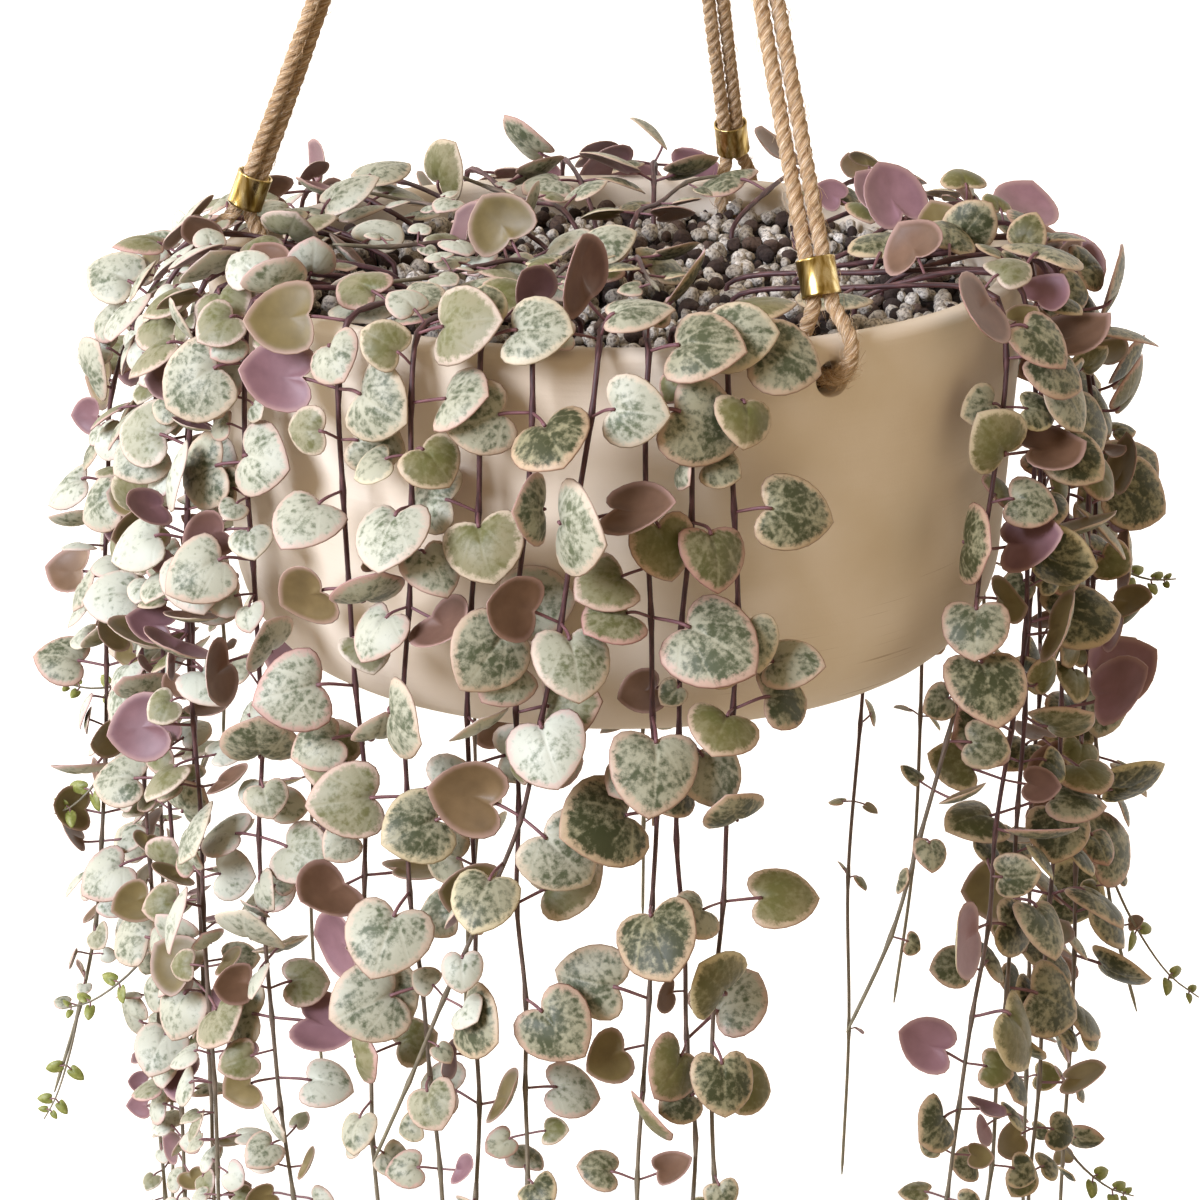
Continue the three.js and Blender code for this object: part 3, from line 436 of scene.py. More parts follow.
# From the bore round the rolled end: radius and distance from the tube's middle.
rolled_end = [
    (inner, FERRULE_HALF - 0.15), (inner + 0.15, FERRULE_HALF), (FERRULE_RADIUS - 0.1, FERRULE_HALF),
    (FERRULE_RADIUS + 0.06, FERRULE_HALF - 0.14), (FERRULE_RADIUS + 0.08, FERRULE_HALF - 0.55),
    (FERRULE_RADIUS, FERRULE_HALF - 0.8),
]
lower_end = [(radius, -height) for radius, height in rolled_end]
ferrule_profile = [*lower_end, (FERRULE_RADIUS - 0.03, 0), *rolled_end[::-1]]
for name, azimuth, _ in HANGERS:
    axis = unit(np.array([0, 0, 1.0]) - outward(azimuth) * FERRULE_LEAN)
    across = unit(np.cross(axis, outward(azimuth)))
    turned = np.stack([np.cross(across, axis), across, axis], 1)
    middle = place(azimuth, FERRULE_OUT, FERRULE_HEIGHT)
    ferrule_mesh = Mesh()
    add_turned(ferrule_mesh, ferrule_profile, FERRULE_CORNERS, turned, middle)
    ferrule = ferrule_mesh.piece(f"brass_sleeve_{name}", [brass], f"ferrule_{name}", "brass")
    rope, rope_route = ropes[name]
    to_frame(rope_route[0])
    to_frame(rope_route).tolist()


# ---- Gathering ----
# The six rope legs are bound together under the hook: jute twine is wound round them in close
# turns, and a rope eye comes out of the top for the ring.

WHIPPING_RADIUS = 8.2
WHIPPING_BOTTOM = 236.3
WHIPPING_TOP = 250.0
TWINE = 0.95  # the twine's radius
TWINE_LAY = 6.0
TWINE_RISE = 1.86 * TWINE  # from one turn of it to the next
TWINE_STEPS = 34  # in each turn
CORE_CORNERS = 36
EYE_RADIUS = 5.5
EYE_CORD = 2.2
EYE_LAY = 13.0
EYE_LEG = 8.1
EYE_ROOT = 3.0  # how deep the eye's legs go into the whipping
EYE_STEP = 0.8
EYE_FIBRES = 60
TWINE_FIBRES = 160
SHORT_REACH = 1.6

gathering_mesh = Mesh()
core = WHIPPING_RADIUS - 1.6 * TWINE
core_profile = [
    (0, WHIPPING_BOTTOM + 0.4), (core - 1, WHIPPING_BOTTOM + 0.5), (core, WHIPPING_BOTTOM + 1.5),
    (core, WHIPPING_TOP - 1.6), (core - 1.2, WHIPPING_TOP - 0.5), (0, WHIPPING_TOP),
]
add_turned(gathering_mesh, core_profile, CORE_CORNERS)
twine_turns = (WHIPPING_TOP - WHIPPING_BOTTOM - 2.2 * TWINE) / TWINE_RISE
winding = np.linspace(0, 2 * np.pi * twine_turns, int(TWINE_STEPS * twine_turns))
wound_radius = WHIPPING_RADIUS - TWINE
wound_height = WHIPPING_BOTTOM + 1.1 * TWINE + TWINE_RISE * winding / (2 * np.pi)
wound = np.stack([wound_radius * np.cos(winding), wound_radius * np.sin(winding), wound_height], 1)
add_rope(gathering_mesh, wound, TWINE, TWINE_LAY)
eye_arch = [
    (EYE_RADIUS * math.cos(turn), 0, WHIPPING_TOP + EYE_LEG + EYE_RADIUS * math.sin(turn))
    for turn in np.radians(np.arange(0, 181, 15))
]
eye_foot = WHIPPING_TOP - EYE_ROOT
eye_route = smooth_route([(EYE_RADIUS, 0, eye_foot), *eye_arch, (-EYE_RADIUS, 0, eye_foot)], EYE_STEP)
add_rope(gathering_mesh, eye_route, EYE_CORD, EYE_LAY)
for route, radius, count in ((eye_route, EYE_CORD, EYE_FIBRES), (wound, TWINE, TWINE_FIBRES)):
    add_fibres(gathering_mesh, route, radius, count, rope_random, SHORT_REACH, (2, len(route) - 2))
gathering_mesh.piece("jute_whipping_and_eye", [jute], "gathering", "jute")


# ---- Hang ring ----
# A closed ring of bent and soldered brass wire, polished, which a ceiling hook passes through.

RING_RADIUS = 10.0
RING_WIRE = 1.5
RING_STEPS = 96
WIRE_CORNERS = 20

ring_mesh = Mesh()
ring_middle = np.array([0, 0, HANG_DROP + RING_WIRE - RING_RADIUS])
ring_rows = []
for turn in full_turn(RING_STEPS):
    spoke = np.array([0, math.cos(turn), math.sin(turn)])
    wire_ways = [spoke * math.cos(w) + np.array([math.sin(w), 0, 0]) for w in full_turn(WIRE_CORNERS)]
    wire_middle = ring_middle + spoke * RING_RADIUS
    ring_rows.append(ring_mesh.points([wire_middle + RING_WIRE * way for way in wire_ways]))
for before, after in zip(ring_rows, ring_rows[1:] + ring_rows[:1]):
    ring_mesh.sleeve(before, after)
ring_mesh.piece("brass_hang_ring", [brass_material("brass_wire_polished", 0.2)], "hang_ring", "brass")


# ---- Pot ----
# One wheel-thrown stoneware bowl, turned smooth and left with a matte cream glaze. Its wall is
# 7 mm thick, its lip is rounded, and three holes under the lip take the ropes.

RIM_RADIUS = 100.0
POT_HEIGHT = 96.0
WALL = 7.0
FLOOR = 8.0
SHOULDER_DEPTH = 67.5  # the wall is straight down to here, and round under it
SHOULDER_RADIUS = 95.5
BASE_RADIUS = 73.0
BASE_ROUND = 1.6  # from the edge of the flat base to its full radius
LIP_ROUND = 2.6
HOLE_RADIUS = 4.0
HOLE_DEPTH = 9.2
HOLE_FLARE = 1.0  # how much wider a hole is at its mouth, where the glaze has rounded it
HOLE_INSET = 0.6  # the wall leans in by this much at the holes
POT_CORNERS = 144
HOLE_CORNERS = 32
# Depths of the rings of the profile, outside from the foot up and inside from the lip down.
OUTER_DEPTHS = (
    95.85, 95.3, 94.2, 92.4, 90, 87, 83.5, 79.5, 75.5, 71.5, 67.5, 62, 56, 50, 44, 38, 32, 26, 20, 14, 8, 4.5,
)
INNER_DEPTHS = (5, 9, 14, 20, 35, 50, 60, 68, 74, 79, 83, 86.5)
LIP_TURNS = (0, 18, 36, 54, 72, 90)
INNER_TAPER = 0.02  # the wall thickens by this share of the depth under INNER_STRAIGHT
INNER_STRAIGHT = 60
FLOOR_RADIUS = 58.0
SHARP_EDGE = 50  # degrees
GLAZE_CLOUD = 45.5  # millimetres from one cloud of the glaze to the next
GLAZE_TOOTH = 0.526  # coarser than the real tooth, which would not show
THROWN_RIDGES = (71.4, 71.4, 1.111)  # across, across and up
SCRATCHES = (38.46, 38.46, 0.3846)
SCRATCHED_FROM, SCRATCHED_TO = -0.300, -0.368  # heights in metres between which they grow


def outer_radius(depth):
    if depth <= SHOULDER_DEPTH:
        return RIM_RADIUS + (SHOULDER_RADIUS - RIM_RADIUS) * depth / SHOULDER_DEPTH
    share = min(1.0, (depth - SHOULDER_DEPTH) / (POT_HEIGHT - SHOULDER_DEPTH))
    return BASE_RADIUS + (SHOULDER_RADIUS - BASE_RADIUS) * math.sqrt(1 - share * share)


def ceramic_material():
    """Matte cream glaze: faint cloudiness, a fine tooth, and turning lines round the wall."""
    material, tree, shader = new_material("stoneware_matte_glazed", {"Roughness": 0.6})
    where = add_node(tree, "TexCoord")["Object"]
    clouds = add_node(
        tree, "TexNoise", {"Vector": where, "Scale": 1000 / GLAZE_CLOUD, "Detail": 5.0}
    )["Fac"]
    tooth = add_node(
        tree, "TexNoise", {"Vector": where, "Scale": 1000 / GLAZE_TOOTH, "Detail": 2.0}
    )["Fac"]
    thrown = add_node(tree, "Mapping", {"Vector": where, "Scale": to_metre(*THROWN_RIDGES)})["Vector"]
    ridges = add_node(tree, "TexNoise", {"Vector": thrown, "Scale": 1.0, "Detail": 3.0})["Fac"]
    scraped = add_node(tree, "Mapping", {"Vector": where, "Scale": to_metre(*SCRATCHES)})["Vector"]
    lines = add_node(tree, "TexNoise", {"Vector": scraped, "Scale": 1.0, "Detail": 1.0})["Fac"]
    height = add_node(tree, "SeparateXYZ", {"Vector": where})["Z"]
    # A scratch shows low on the wall, where a line and a cloud are both strong.
    scratch = 0.6
    for value, start, end in (
        (height, SCRATCHED_FROM, SCRATCHED_TO), (lines, 0.70, 0.76), (clouds, 0.5, 0.62),
    ):
        share = add_node(
            tree, "MapRange", {"Value": value, "From Min": start, "From Max": end},
            interpolation_type="SMOOTHSTEP",
        )["Result"]
        scratch = add_node(tree, "Math", {0: share, 1: scratch}, operation="MULTIPLY")[0]
    glaze = add_node(
        tree, "ValToRGB", {"Fac": clouds}, stops=[(0.32, "#DFCFB7"), (0.5, "#E7D9C3"), (0.7, "#EEE3D2")]
    )["Color"]
    colour = add_node(tree, "Mix", {0: scratch, 6: glaze, 7: "#A88C66"}, data_type="RGBA")[2]
    rough = add_node(tree, "MapRange", {"Value": clouds, "To Min": 0.52, "To Max": 0.72})["Result"]
    fine = add_node(tree, "Bump", {"Height": tooth, "Strength": 0.25, "Distance": 0.00012})["Normal"]
    bump = add_node(
        tree, "Bump", {"Height": ridges, "Strength": 0.3, "Distance": 0.0003, "Normal": fine}
    )["Normal"]
    set_sockets(tree, shader, {"Base Color": colour, "Roughness": rough, "Normal": bump})
    return material


def lip_point(edge, towards, degrees):
    """A point of the rounded lip, from an edge of the wall towards the lip's middle."""
    turn = math.radians(degrees)
    return edge + towards * LIP_ROUND * (1 - math.cos(turn)), LIP_ROUND * (math.sin(turn) - 1)


pot_profile = [
    (0, -POT_HEIGHT), (BASE_RADIUS - BASE_ROUND, -POT_HEIGHT),
    *[(outer_radius(depth), -depth) for depth in OUTER_DEPTHS],
    *[lip_point(RIM_RADIUS, -1, degrees) for degrees in LIP_TURNS],
    *[lip_point(RIM_RADIUS - WALL, 1, degrees) for degrees in LIP_TURNS[::-1]],
    *[
        (outer_radius(depth) - WALL - INNER_TAPER * max(0, depth - INNER_STRAIGHT), -depth)
        for depth in INNER_DEPTHS
    ],
    (FLOOR_RADIUS, -POT_HEIGHT + FLOOR), (0, -POT_HEIGHT + FLOOR),
]
# Radius, and distance outwards from the middle of the wall.
hole_profile = [
    (0, -WALL), (HOLE_RADIUS, -WALL), (HOLE_RADIUS, WALL / 2 - 0.9),
    (HOLE_RADIUS + HOLE_FLARE / 4, WALL / 2 - 0.35), (HOLE_RADIUS + HOLE_FLARE, WALL / 2 + 0.45),
    (HOLE_RADIUS + HOLE_FLARE, WALL), (0, WALL),
]
pot_mesh = Mesh()
add_turned(pot_mesh, pot_profile, POT_CORNERS)
ceramic = ceramic_material()
pot = pot_mesh.piece("stoneware_pot", [ceramic], "pot", "ceramic")
for name, azimuth, _ in HANGERS:
    out = outward(azimuth)
    turned = np.stack([np.array([0, 0, 1.0]), np.cross(out, [0, 0, 1.0]), out], 1)
    middle = place(azimuth, RIM_RADIUS - HOLE_INSET - WALL / 2, -HOLE_DEPTH)
    cutter_mesh = Mesh()
    add_turned(cutter_mesh, hole_profile, HOLE_CORNERS, turned, middle)
    cutter = cutter_mesh.piece(f"cutter_{name}", [ceramic], None, "ceramic")
    cut = pot.modifiers.new("hole", "BOOLEAN")
    cut.operation, cut.solver, cut.object = "DIFFERENCE", "EXACT", cutter
    bpy.context.view_layer.update()
    drilled = bpy.data.meshes.new_from_object(pot.evaluated_get(bpy.context.evaluated_depsgraph_get()))
    pot.modifiers.clear()
    pot.data = drilled
    bpy.data.objects.remove(cutter)
pot.data.polygons.foreach_set("use_smooth", [True] * len(pot.data.polygons))
pot.data.set_sharp_from_angle(angle=math.radians(SHARP_EDGE))


# ---- Potting mix ----
# Dark peat and bark crumbs that fill the pot to 8.5 mm under the rim.

SOIL_DEPTH = 8.5
SOIL_EDGE = RIM_RADIUS - WALL - 0.9
SOIL_SINK = 1.1  # how far the mix itself lies under its granules
SOIL_ROWS = 33
SOIL_CORNERS = 96
SOIL_RELIEF = ((1.3, 0.21, 3.0), (0.9, 0.09, 9.0))  # height, waves to the millimetre, seed
SOIL_SIDE = ((91.0, 40), (88.0, 62), (60.0, 87))  # radius and depth, down the inside of the pot
CRUMB = 1.613

soil_material, soil_tree, soil_shader = new_material("peat_and_bark_crumbs", {"Roughness": 0.95})
soil_where = add_node(soil_tree, "TexCoord")["Object"]
crumbs = add_node(
    soil_tree, "TexNoise", {"Vector": soil_where, "Scale": 1000 / CRUMB, "Detail": 6.0}
)["Fac"]
soil_colour = add_node(
    soil_tree, "ValToRGB", {"Fac": crumbs},
    stops=[(0.35, "#0D0706"), (0.5, "#1B100E"), (0.64, "#33221C"), (0.78, "#5C4639")],
)["Color"]
soil_bump = add_node(soil_tree, "Bump", {"Height": crumbs, "Strength": 1.0, "Distance": 0.0012})["Normal"]
set_sockets(soil_tree, soil_shader, {"Base Color": soil_colour, "Normal": soil_bump})

soil_mesh = Mesh()
soil_turns = full_turn(SOIL_CORNERS)
soil_rows = []
for radius in np.linspace(0, SOIL_EDGE, SOIL_ROWS + 1)[1:]:
    row = []
    for turn in soil_turns:
        x, y = radius * math.cos(turn), radius * math.sin(turn)
        relief = sum(
            height * noise.noise(Vector((x, y, seed)) * waves) for height, waves, seed in SOIL_RELIEF
        )
        flatter = min(1.0, (SOIL_EDGE - radius) / 3 + 0.3)  # towards the wall
        row.append((x, y, -SOIL_DEPTH - SOIL_SINK + relief * flatter))
    soil_rows.append(soil_mesh.points(row))
soil_top = soil_mesh.points((0, 0, -SOIL_DEPTH - 1.0))
for i in range(SOIL_CORNERS):
    soil_mesh.face((soil_top[0], soil_rows[0][i], soil_rows[0][(i + 1) % SOIL_CORNERS]))
for before, after in zip(soil_rows, soil_rows[1:]):
    soil_mesh.sleeve(after, before)
for radius, depth in SOIL_SIDE:
    lower = soil_mesh.points([(radius * math.cos(t), radius * math.sin(t), -depth) for t in soil_turns])
    soil_mesh.sleeve(lower, soil_rows[-1])
    soil_rows.append(lower)
soil_mesh.face(soil_rows[-1][::-1])
soil_mesh.piece("potting_mix", [soil_material], "soil", "potting_mix")


# ---- Pumice and lava granules ----
# Crushed pumice with dark lava chips, sieved to about 3 to 6 mm and strewn over the mix so that
# the pieces lie against each other.

# Each layer: tries, least and most half width, and how high its granules' feet lie.
GRANULE_LAYERS = (
    (2600, 1.1, 3.0, -SOIL_DEPTH - 0.7),
    (700, 1.2, 2.6, -SOIL_DEPTH + 0.9),
)
GRANULE_GAP = 0.9  # of both half widths, so that some touch
WEDGED_OUT = 89.0  # one granule lies against each rope, inside the wall
WEDGED_HEIGHT = -5.6
WEDGED_ASIDE = 2.4
WEDGED_SIZE = 2.6
CHIPPED_FACES = 7
LAVA_SHARE = 0.3
FINER_OVER = 2.35  # half width over which a stone gets more faces
PORE = 0.769  # pumice's pores are mostly under half of this, and would not show
STONE_PATCH = 2.381

granule_random = np.random.default_rng(7)


def rounded_stone(level):
    """The corners and faces of a plain round stone."""
    made = bmesh.new()
    bmesh.ops.create_icosphere(made, subdivisions=level, radius=1)
    spots = np.array([vertex.co for vertex in made.verts])
    faces = [[corner.index for corner in face.verts] for face in made.faces]
    made.free()
    return spots, faces


def granule_material(name, dark, mid, pale):
    """Foamed stone: rough, pitted with fine pores that are darkened with painted shade, each piece its own
    tone.
    """
    material, tree, shader = new_material(name, {"Roughness": 0.95})
    where = add_node(tree, "TexCoord")["Object"]
    tone = add_node(tree, "Attribute", attribute_name="tone")["Color"]
    shade = add_node(tree, "SeparateColor", {"Color": tone})["Red"]
    pores = add_node(tree, "TexNoise", {"Vector": where, "Scale": 1000 / PORE, "Detail": 5.0})["Fac"]
    patches = add_node(
        tree, "TexNoise", {"Vector": where, "Scale": 1000 / STONE_PATCH, "Detail": 2.0}
    )["Fac"]
    own = add_node(tree, "Math", {0: shade, 1: 0.6}, operation="MULTIPLY")[0]
    mixed = add_node(tree, "Math", {0: patches, 1: 0.5, 2: own}, operation="MULTIPLY_ADD")[0]
    stone = add_node(tree, "ValToRGB", {"Fac": mixed}, stops=[(0.2, dark), (0.5, mid), (0.85, pale)])["Color"]
    # Painted shade: the colour darkens in the pores, where shade would fall inside them.
    painted_pore_shade = add_node(
        tree, "MapRange", {"Value": pores, "From Min": 0.52, "From Max": 0.38},
        interpolation_type="SMOOTHSTEP",
    )["Result"]
    pitted = add_node(tree, "Math", {0: painted_pore_shade, 1: 0.6}, operation="MULTIPLY")[0]
    colour = add_node(tree, "Mix", {0: pitted, 6: stone, 7: "#3A2E28"}, data_type="RGBA")[2]
    bump = add_node(tree, "Bump", {"Height": pores, "Strength": 0.9, "Distance": 0.0006})["Normal"]
    set_sockets(tree, shader, {"Base Color": colour, "Normal": bump})
    return material


granules = []
for tries, least, most, foot in GRANULE_LAYERS:
    laid = []
    for _ in range(tries):
        size = granule_random.uniform(least, most)
        radius = (SOIL_EDGE - size - 0.4) * math.sqrt(granule_random.uniform(0, 1))
        spot = place(granule_random.uniform(0, 360), radius, foot + 0.45 * size)
        gaps = [np.hypot(*(spot - other)[:2]) - GRANULE_GAP * (size + width) for other, width in laid]
        if min(gaps, default=1) > 0:
            laid.append((spot, size))
    granules += laid
for _, azimuth, hand in HANGERS:
    aside = outward(azimuth + 90) * WEDGED_ASIDE * hand
    granules.append((place(azimuth, WEDGED_OUT, WEDGED_HEIGHT) + aside, WEDGED_SIZE))
plain_stone, finer_stone = rounded_stone(2), rounded_stone(3)
stone_meshes = {"pumice": Mesh(), "lava": Mesh()}
for spot, size in granules:
    spots, faces = finer_stone if size > FINER_OVER else plain_stone
    spots = spots * granule_random.uniform(0.78, 1.12, 3)
    for _ in range(CHIPPED_FACES):
        way = unit(granule_random.normal(size=3))
        over = spots @ way - granule_random.uniform(0.55, 0.92)
        spots = spots - np.outer(np.maximum(0, over) * 0.9, way)
    kind = "lava" if granule_random.uniform() < LAVA_SHARE else "pumice"
    shade = granule_random.uniform(0, 1)
    corners = stone_meshes[kind].points(spot + spots * size, None, (shade, 0, 0, 0))
    for face in faces:
        stone_meshes[kind].face([corners[corner] for corner in face])
for kind, name, colours in (
    ("pumice", "pumice_granules", ("#9A9082", "#C9C0B1", "#EDE6DA")),
    ("lava", "lava_chips", ("#1E1512", "#3A2B25", "#6B574A")),
):
    stone_material = granule_material(f"{kind}_crushed", *colours)
    stone_meshes[kind].piece(name, [stone_material], None, "potting_mix")


# ---- Vine ----
# A string of hearts: wiry stems that stand in the mix, cross the lip and hang, with opposite
# pairs of fleshy heart-shaped leaves on short stalks, each pair a quarter turn from the last.

# The stems' courses, in millimetres and degrees.
ROOT_DEPTH = 12.0
COLLAR = -4.6
LIFT = 2.4  # how much higher than the lowest a stem may cross the lip
HALFWAY_TURNED, HALFWAY_OUT = 0.6, 0.55  # shares of the way from the root to the lip
HALFWAY_HEIGHT = 0.6
LIP_CREST = (94.5, 2.4)  # radius and height where a stem crosses the lip
LIP_EDGE = (102.2, 0.7)
EDGE_FOLLOW = 0.12  # the share of its way out that a stem has at the lip's edge
HANG_START = 12
HANG_RADIUS = 103.6
SETTLE = 17  # the depth in which a stem finds how far out it hangs
WANDER = 1.4
LEAN_POWER = 4
TURN_POWER = 1.5
SWAY = 2.2
SWAY_LENGTH = 34
SWAY_RANDOM = 2
SWAY_FULL = 40  # all of the sway from this depth on
SPRAY_SHARES = (0.22, 0.48, 0.74, 1)
SPRAY_HEIGHT = 1.5
SPRAY_RISE = 4
STRAND_SEED, SPRAY_SEED, COURSE_SEED = 7, 500, 13
STEM_CLEAR_RADIUS = 0.95
ROPE_MARGIN = 0.3

# The leaves. What hangs more has more of the second value, and the third is left to chance.
STALK_RADIUS = 0.55
STALK_START = 1.4  # from the middle of the stem
STALK_LEAST = 2
STALK_REACH = (0.15, 0.09, 0.18)  # leaf widths, past the least
STALK_ACROSS, STALK_OVER, STALK_ALONG = 0.4, -0.2, -0.1  # cosines to the blade's directions
SCATTER_ROUND, SCATTER_DROOP, SCATTER_RISE = 50, -14, 40  # degrees about each stalk's place
# What turns a blade's face: outwards and up, less up on a hanging stem, a little to the front.
LIGHT_OUT, LIGHT_UP, LIGHT_LESS = 0.6, 1.1, 0.4
LIGHT_FRONT = (0.04, 0.2)
LOOSE = (0.6, 0.7)  # how far the face strays from that
LOOSE_RISE = 0.9
SINK = (0.1, 0.25)  # how much the tips of hanging leaves sink, and what is left to chance
UNDERSIDE = (0.05, 0.18)  # the share of leaves that show it
UNDERSIDE_BESIDE = 0.22  # more of them on the planter's left and right
UNDERSIDE_TURN = 150
CROWN_SPREAD, WALL_SPREAD = 60, 105  # the least angle on the crown, the most by the wall
UPRIGHT = 0.85  # vertical share of a stem's direction from which it hangs
BELOW_POT = 6  # from here down a hanging stem has leaves all round
LEAF_LEAST, LEAF_CHANCE = 0.88, 0.2  # shares of a stem's leaf width
SHADED_ANGLE, SHADED_SHARE = 120, 0.7  # leaves on the dark side of a stem mostly fall
PAIR_TURN = 90
PHASE = 137.5  # from one stem's first pair to the next stem's
STEM_SEED, STATION_SEED = 1009, 31
LEAF_CLEARANCE = 0.35
POT_CLEARANCE = 1.0
MIX_CLEARANCE = 2.1
TRIES = 14
SHRINK = 0.025  # how much smaller a leaf gets with each try
YOUNG = (0.34, 0.5, 0.72)  # sizes of the leaf pairs counted back from the tip
UP = np.array([0.0, 0.0, 1.0])
# The azimuth where each stem crosses the rim, how far out it hangs, the azimuth and radius of
# its root, the height of its tip, its turn on the way down, its lean, leaf width, pair distance.
STRANDS = [
    (-113, 112, (-111, 66), -150, 3, 0, 16, 26),
    (-103, 122, (-99, 56), -276, 4, 0, 16, 26),
    (-93, 128, (-90, 66), -236, 2, 24, 16, 24),
    (-85.5, 119, (-81, 54), -292, -1, 0, 16, 24),
    (-78, 114, (-75, 66), -288, 2, 0, 16, 23),
    (-70.5, 109, (-66, 54), -284, 1, 0, 17, 24),
    (-63.5, 113, (-61, 67), -278, 3, 0, 17, 23),
    (-54.5, 106.5, (-49, 55), -270, 9, 0, 18, 23),
    (-36, 106, (-36, 62), -264, 6, 0, 19, 23),
    (-25.5, 109.5, (-24, 54), -262, 3, 0, 19, 23),
    (-17, 105.5, (-18, 67), -252, -3, 0, 19, 24),
    (-10.5, 108.5, (-9, 56), -264, -3, 0, 20, 23),
    (-2.5, 113, (-1, 62), -204, -28, 0, 21, 23),
    (3.5, 107.5, (6, 54), -264, 0, 0, 21, 23),
    (8, 105, (10, 68), -262, 1, 0, 19, 25),
    (13, 107, (16, 58), -258, 0, 0, 18, 23),
    (58, 106, (43, 40), -184, -32, 0, 19, 22),
    (64, 108.5, (58, 66), -268, -22, 0, 19, 23),
    (70.5, 107, (62, 30), -280, -18, 0, 19, 23),
    (77, 112, (74, 66), -282, -10, 0, 18, 24),
    (84, 117, (78, 44), -276, -4, 0, 19, 24),
    (92, 119, (90, 68), -214, -2, 20, 18, 24),
    (102, 110, (98, 52), -286, -8, 0, 18, 27),
    (115, 107, (113, 66), -150, 2, 0, 18, 27),
    (127, 105.5, (125, 55), -232, 4, 0, 12, 44),
    (138, 107, (136, 66), -294, 5, 0, 12, 47),
    (150, 106, (148, 56), -140, 2, 0, 20, 30),
    (174, 107, (171, 62), -242, 1, 0, 20, 30),
    (188, 109, (186, 52), -150, -3, 0, 16, 30),
    (203, 106, (202, 64), -256, 0, 0, 20, 30),
    (217, 109, (215, 53), -148, 3, 0, 20, 30),
    (232, 107, (231, 64), -262, -2, 0, 20, 30),
]
# The azimuth and radius of the root and of the end of each stem that lies on the mix.
SPRAYS = [
    ((-80, 16), (-70, 72), 21),
    ((-44, 20), (-43, 80), 22),
    ((-22, 14), (-15, 70), 21),
    ((10, 16), (8, 66), 20),
    ((-125, 18), (-124, 80), 20),
    ((-158, 20), (-146, 78), 19),
    ((172, 14), (158, 72), 18),
]
# Across, along and droop, in leaf widths, of the blade's corners that are kept clear.
BLADE = [(0.26, -0.16, 0.04), (0.5, 0.12, 0.07), (0.37, 0.48, 0.05), (0.0, 0.82, 0.07)]
BLADE_MIDDLE = 0.27
BLADE_RISE = 1.1  # of the blade's middle, less on leaves narrower than this:
FULL_RISE = 14
SMALL_LEAF = 18  # narrower blades are tested with fewer corners


def draws(seed):
    """A repeatable stream of numbers from 0 to 1."""
    state = seed & 0xFFFFFFFF
    while True:
        state = (state + 0x6D2B79F5) & 0xFFFFFFFF
        mixed = ((state ^ (state >> 15)) * (state | 1)) & 0xFFFFFFFF
        mixed ^= (mixed + (mixed ^ (mixed >> 7)) * (mixed | 61)) & 0xFFFFFFFF
        yield (mixed ^ (mixed >> 14)) / 4294967296


def mix(a, b, share):
    return a + (b - a) * share


def square_to(direction, vector):
    return unit(vector - direction * (vector @ direction))


def turn_about(axis, vector, angle):
    return (
        vector * math.cos(angle)
        + np.cross(axis, vector) * math.sin(angle)
        + axis * (axis @ vector) * (1 - math.cos(angle))
    )


def strand_course(strand, draw):
    """The stations of a hanging stem: in the mix, over the lip, and one for each leaf pair."""
    at, out, (root_azimuth, root_radius), tip, turn, lean, _, step = strand
    lift = next(draw) * LIFT
    wave = next(draw) * 2 * math.pi
    half_azimuth = mix(root_azimuth, at, HALFWAY_TURNED)
    half_radius = mix(root_radius, LIP_CREST[0], HALFWAY_OUT)
    edge = LIP_EDGE[0] + EDGE_FOLLOW * (out - HANG_RADIUS)
    stations = [
        place(root_azimuth, root_radius, -ROOT_DEPTH),
        place(root_azimuth, root_radius, COLLAR),
        place(half_azimuth, half_radius, HALFWAY_HEIGHT + lift),
        place(at, LIP_CREST[0], LIP_CREST[1] + lift),
        place(at, edge, LIP_EDGE[1] + lift),
    ]
    depth = HANG_START
    while depth <= -tip:
        share = depth / -tip
        sway = SWAY * math.sin(wave + depth / SWAY_LENGTH) + SWAY_RANDOM * (next(draw) - 0.5)
        settled = (out - HANG_RADIUS) * (1 - math.exp(-depth / SETTLE))
        radius = HANG_RADIUS + settled + lean * share**LEAN_POWER + WANDER * next(draw)
        azimuth = at + turn * share**TURN_POWER
        sideways = outward(azimuth + 90) * sway * min(1, depth / SWAY_FULL)
        stations.append(place(azimuth, radius, -depth) + sideways)
        depth += step
    return np.array(stations)


def spray_course(spray, draw):
    """The stations of a stem that lies on the mix."""
    (root_azimuth, root_radius), (end_azimuth, end_radius), _ = spray
    stations = [place(root_azimuth, root_radius, -ROOT_DEPTH), place(root_azimuth, root_radius, COLLAR)]
    for share in SPRAY_SHARES:
        azimuth = mix(root_azimuth, end_azimuth, share)
        radius = mix(root_radius, end_radius, share)
        height = SPRAY_HEIGHT + SPRAY_RISE * share + LIFT * next(draw)
        stations.append(place(azimuth, radius, height))
    return np.array(stations)


def headings_of(stations):
    before = stations[[0, *range(len(stations) - 1)]]
    after = stations[[*range(1, len(stations)), len(stations) - 1]]
    ways = after - before
    return ways / np.linalg.norm(ways, axis=1)[:, None]


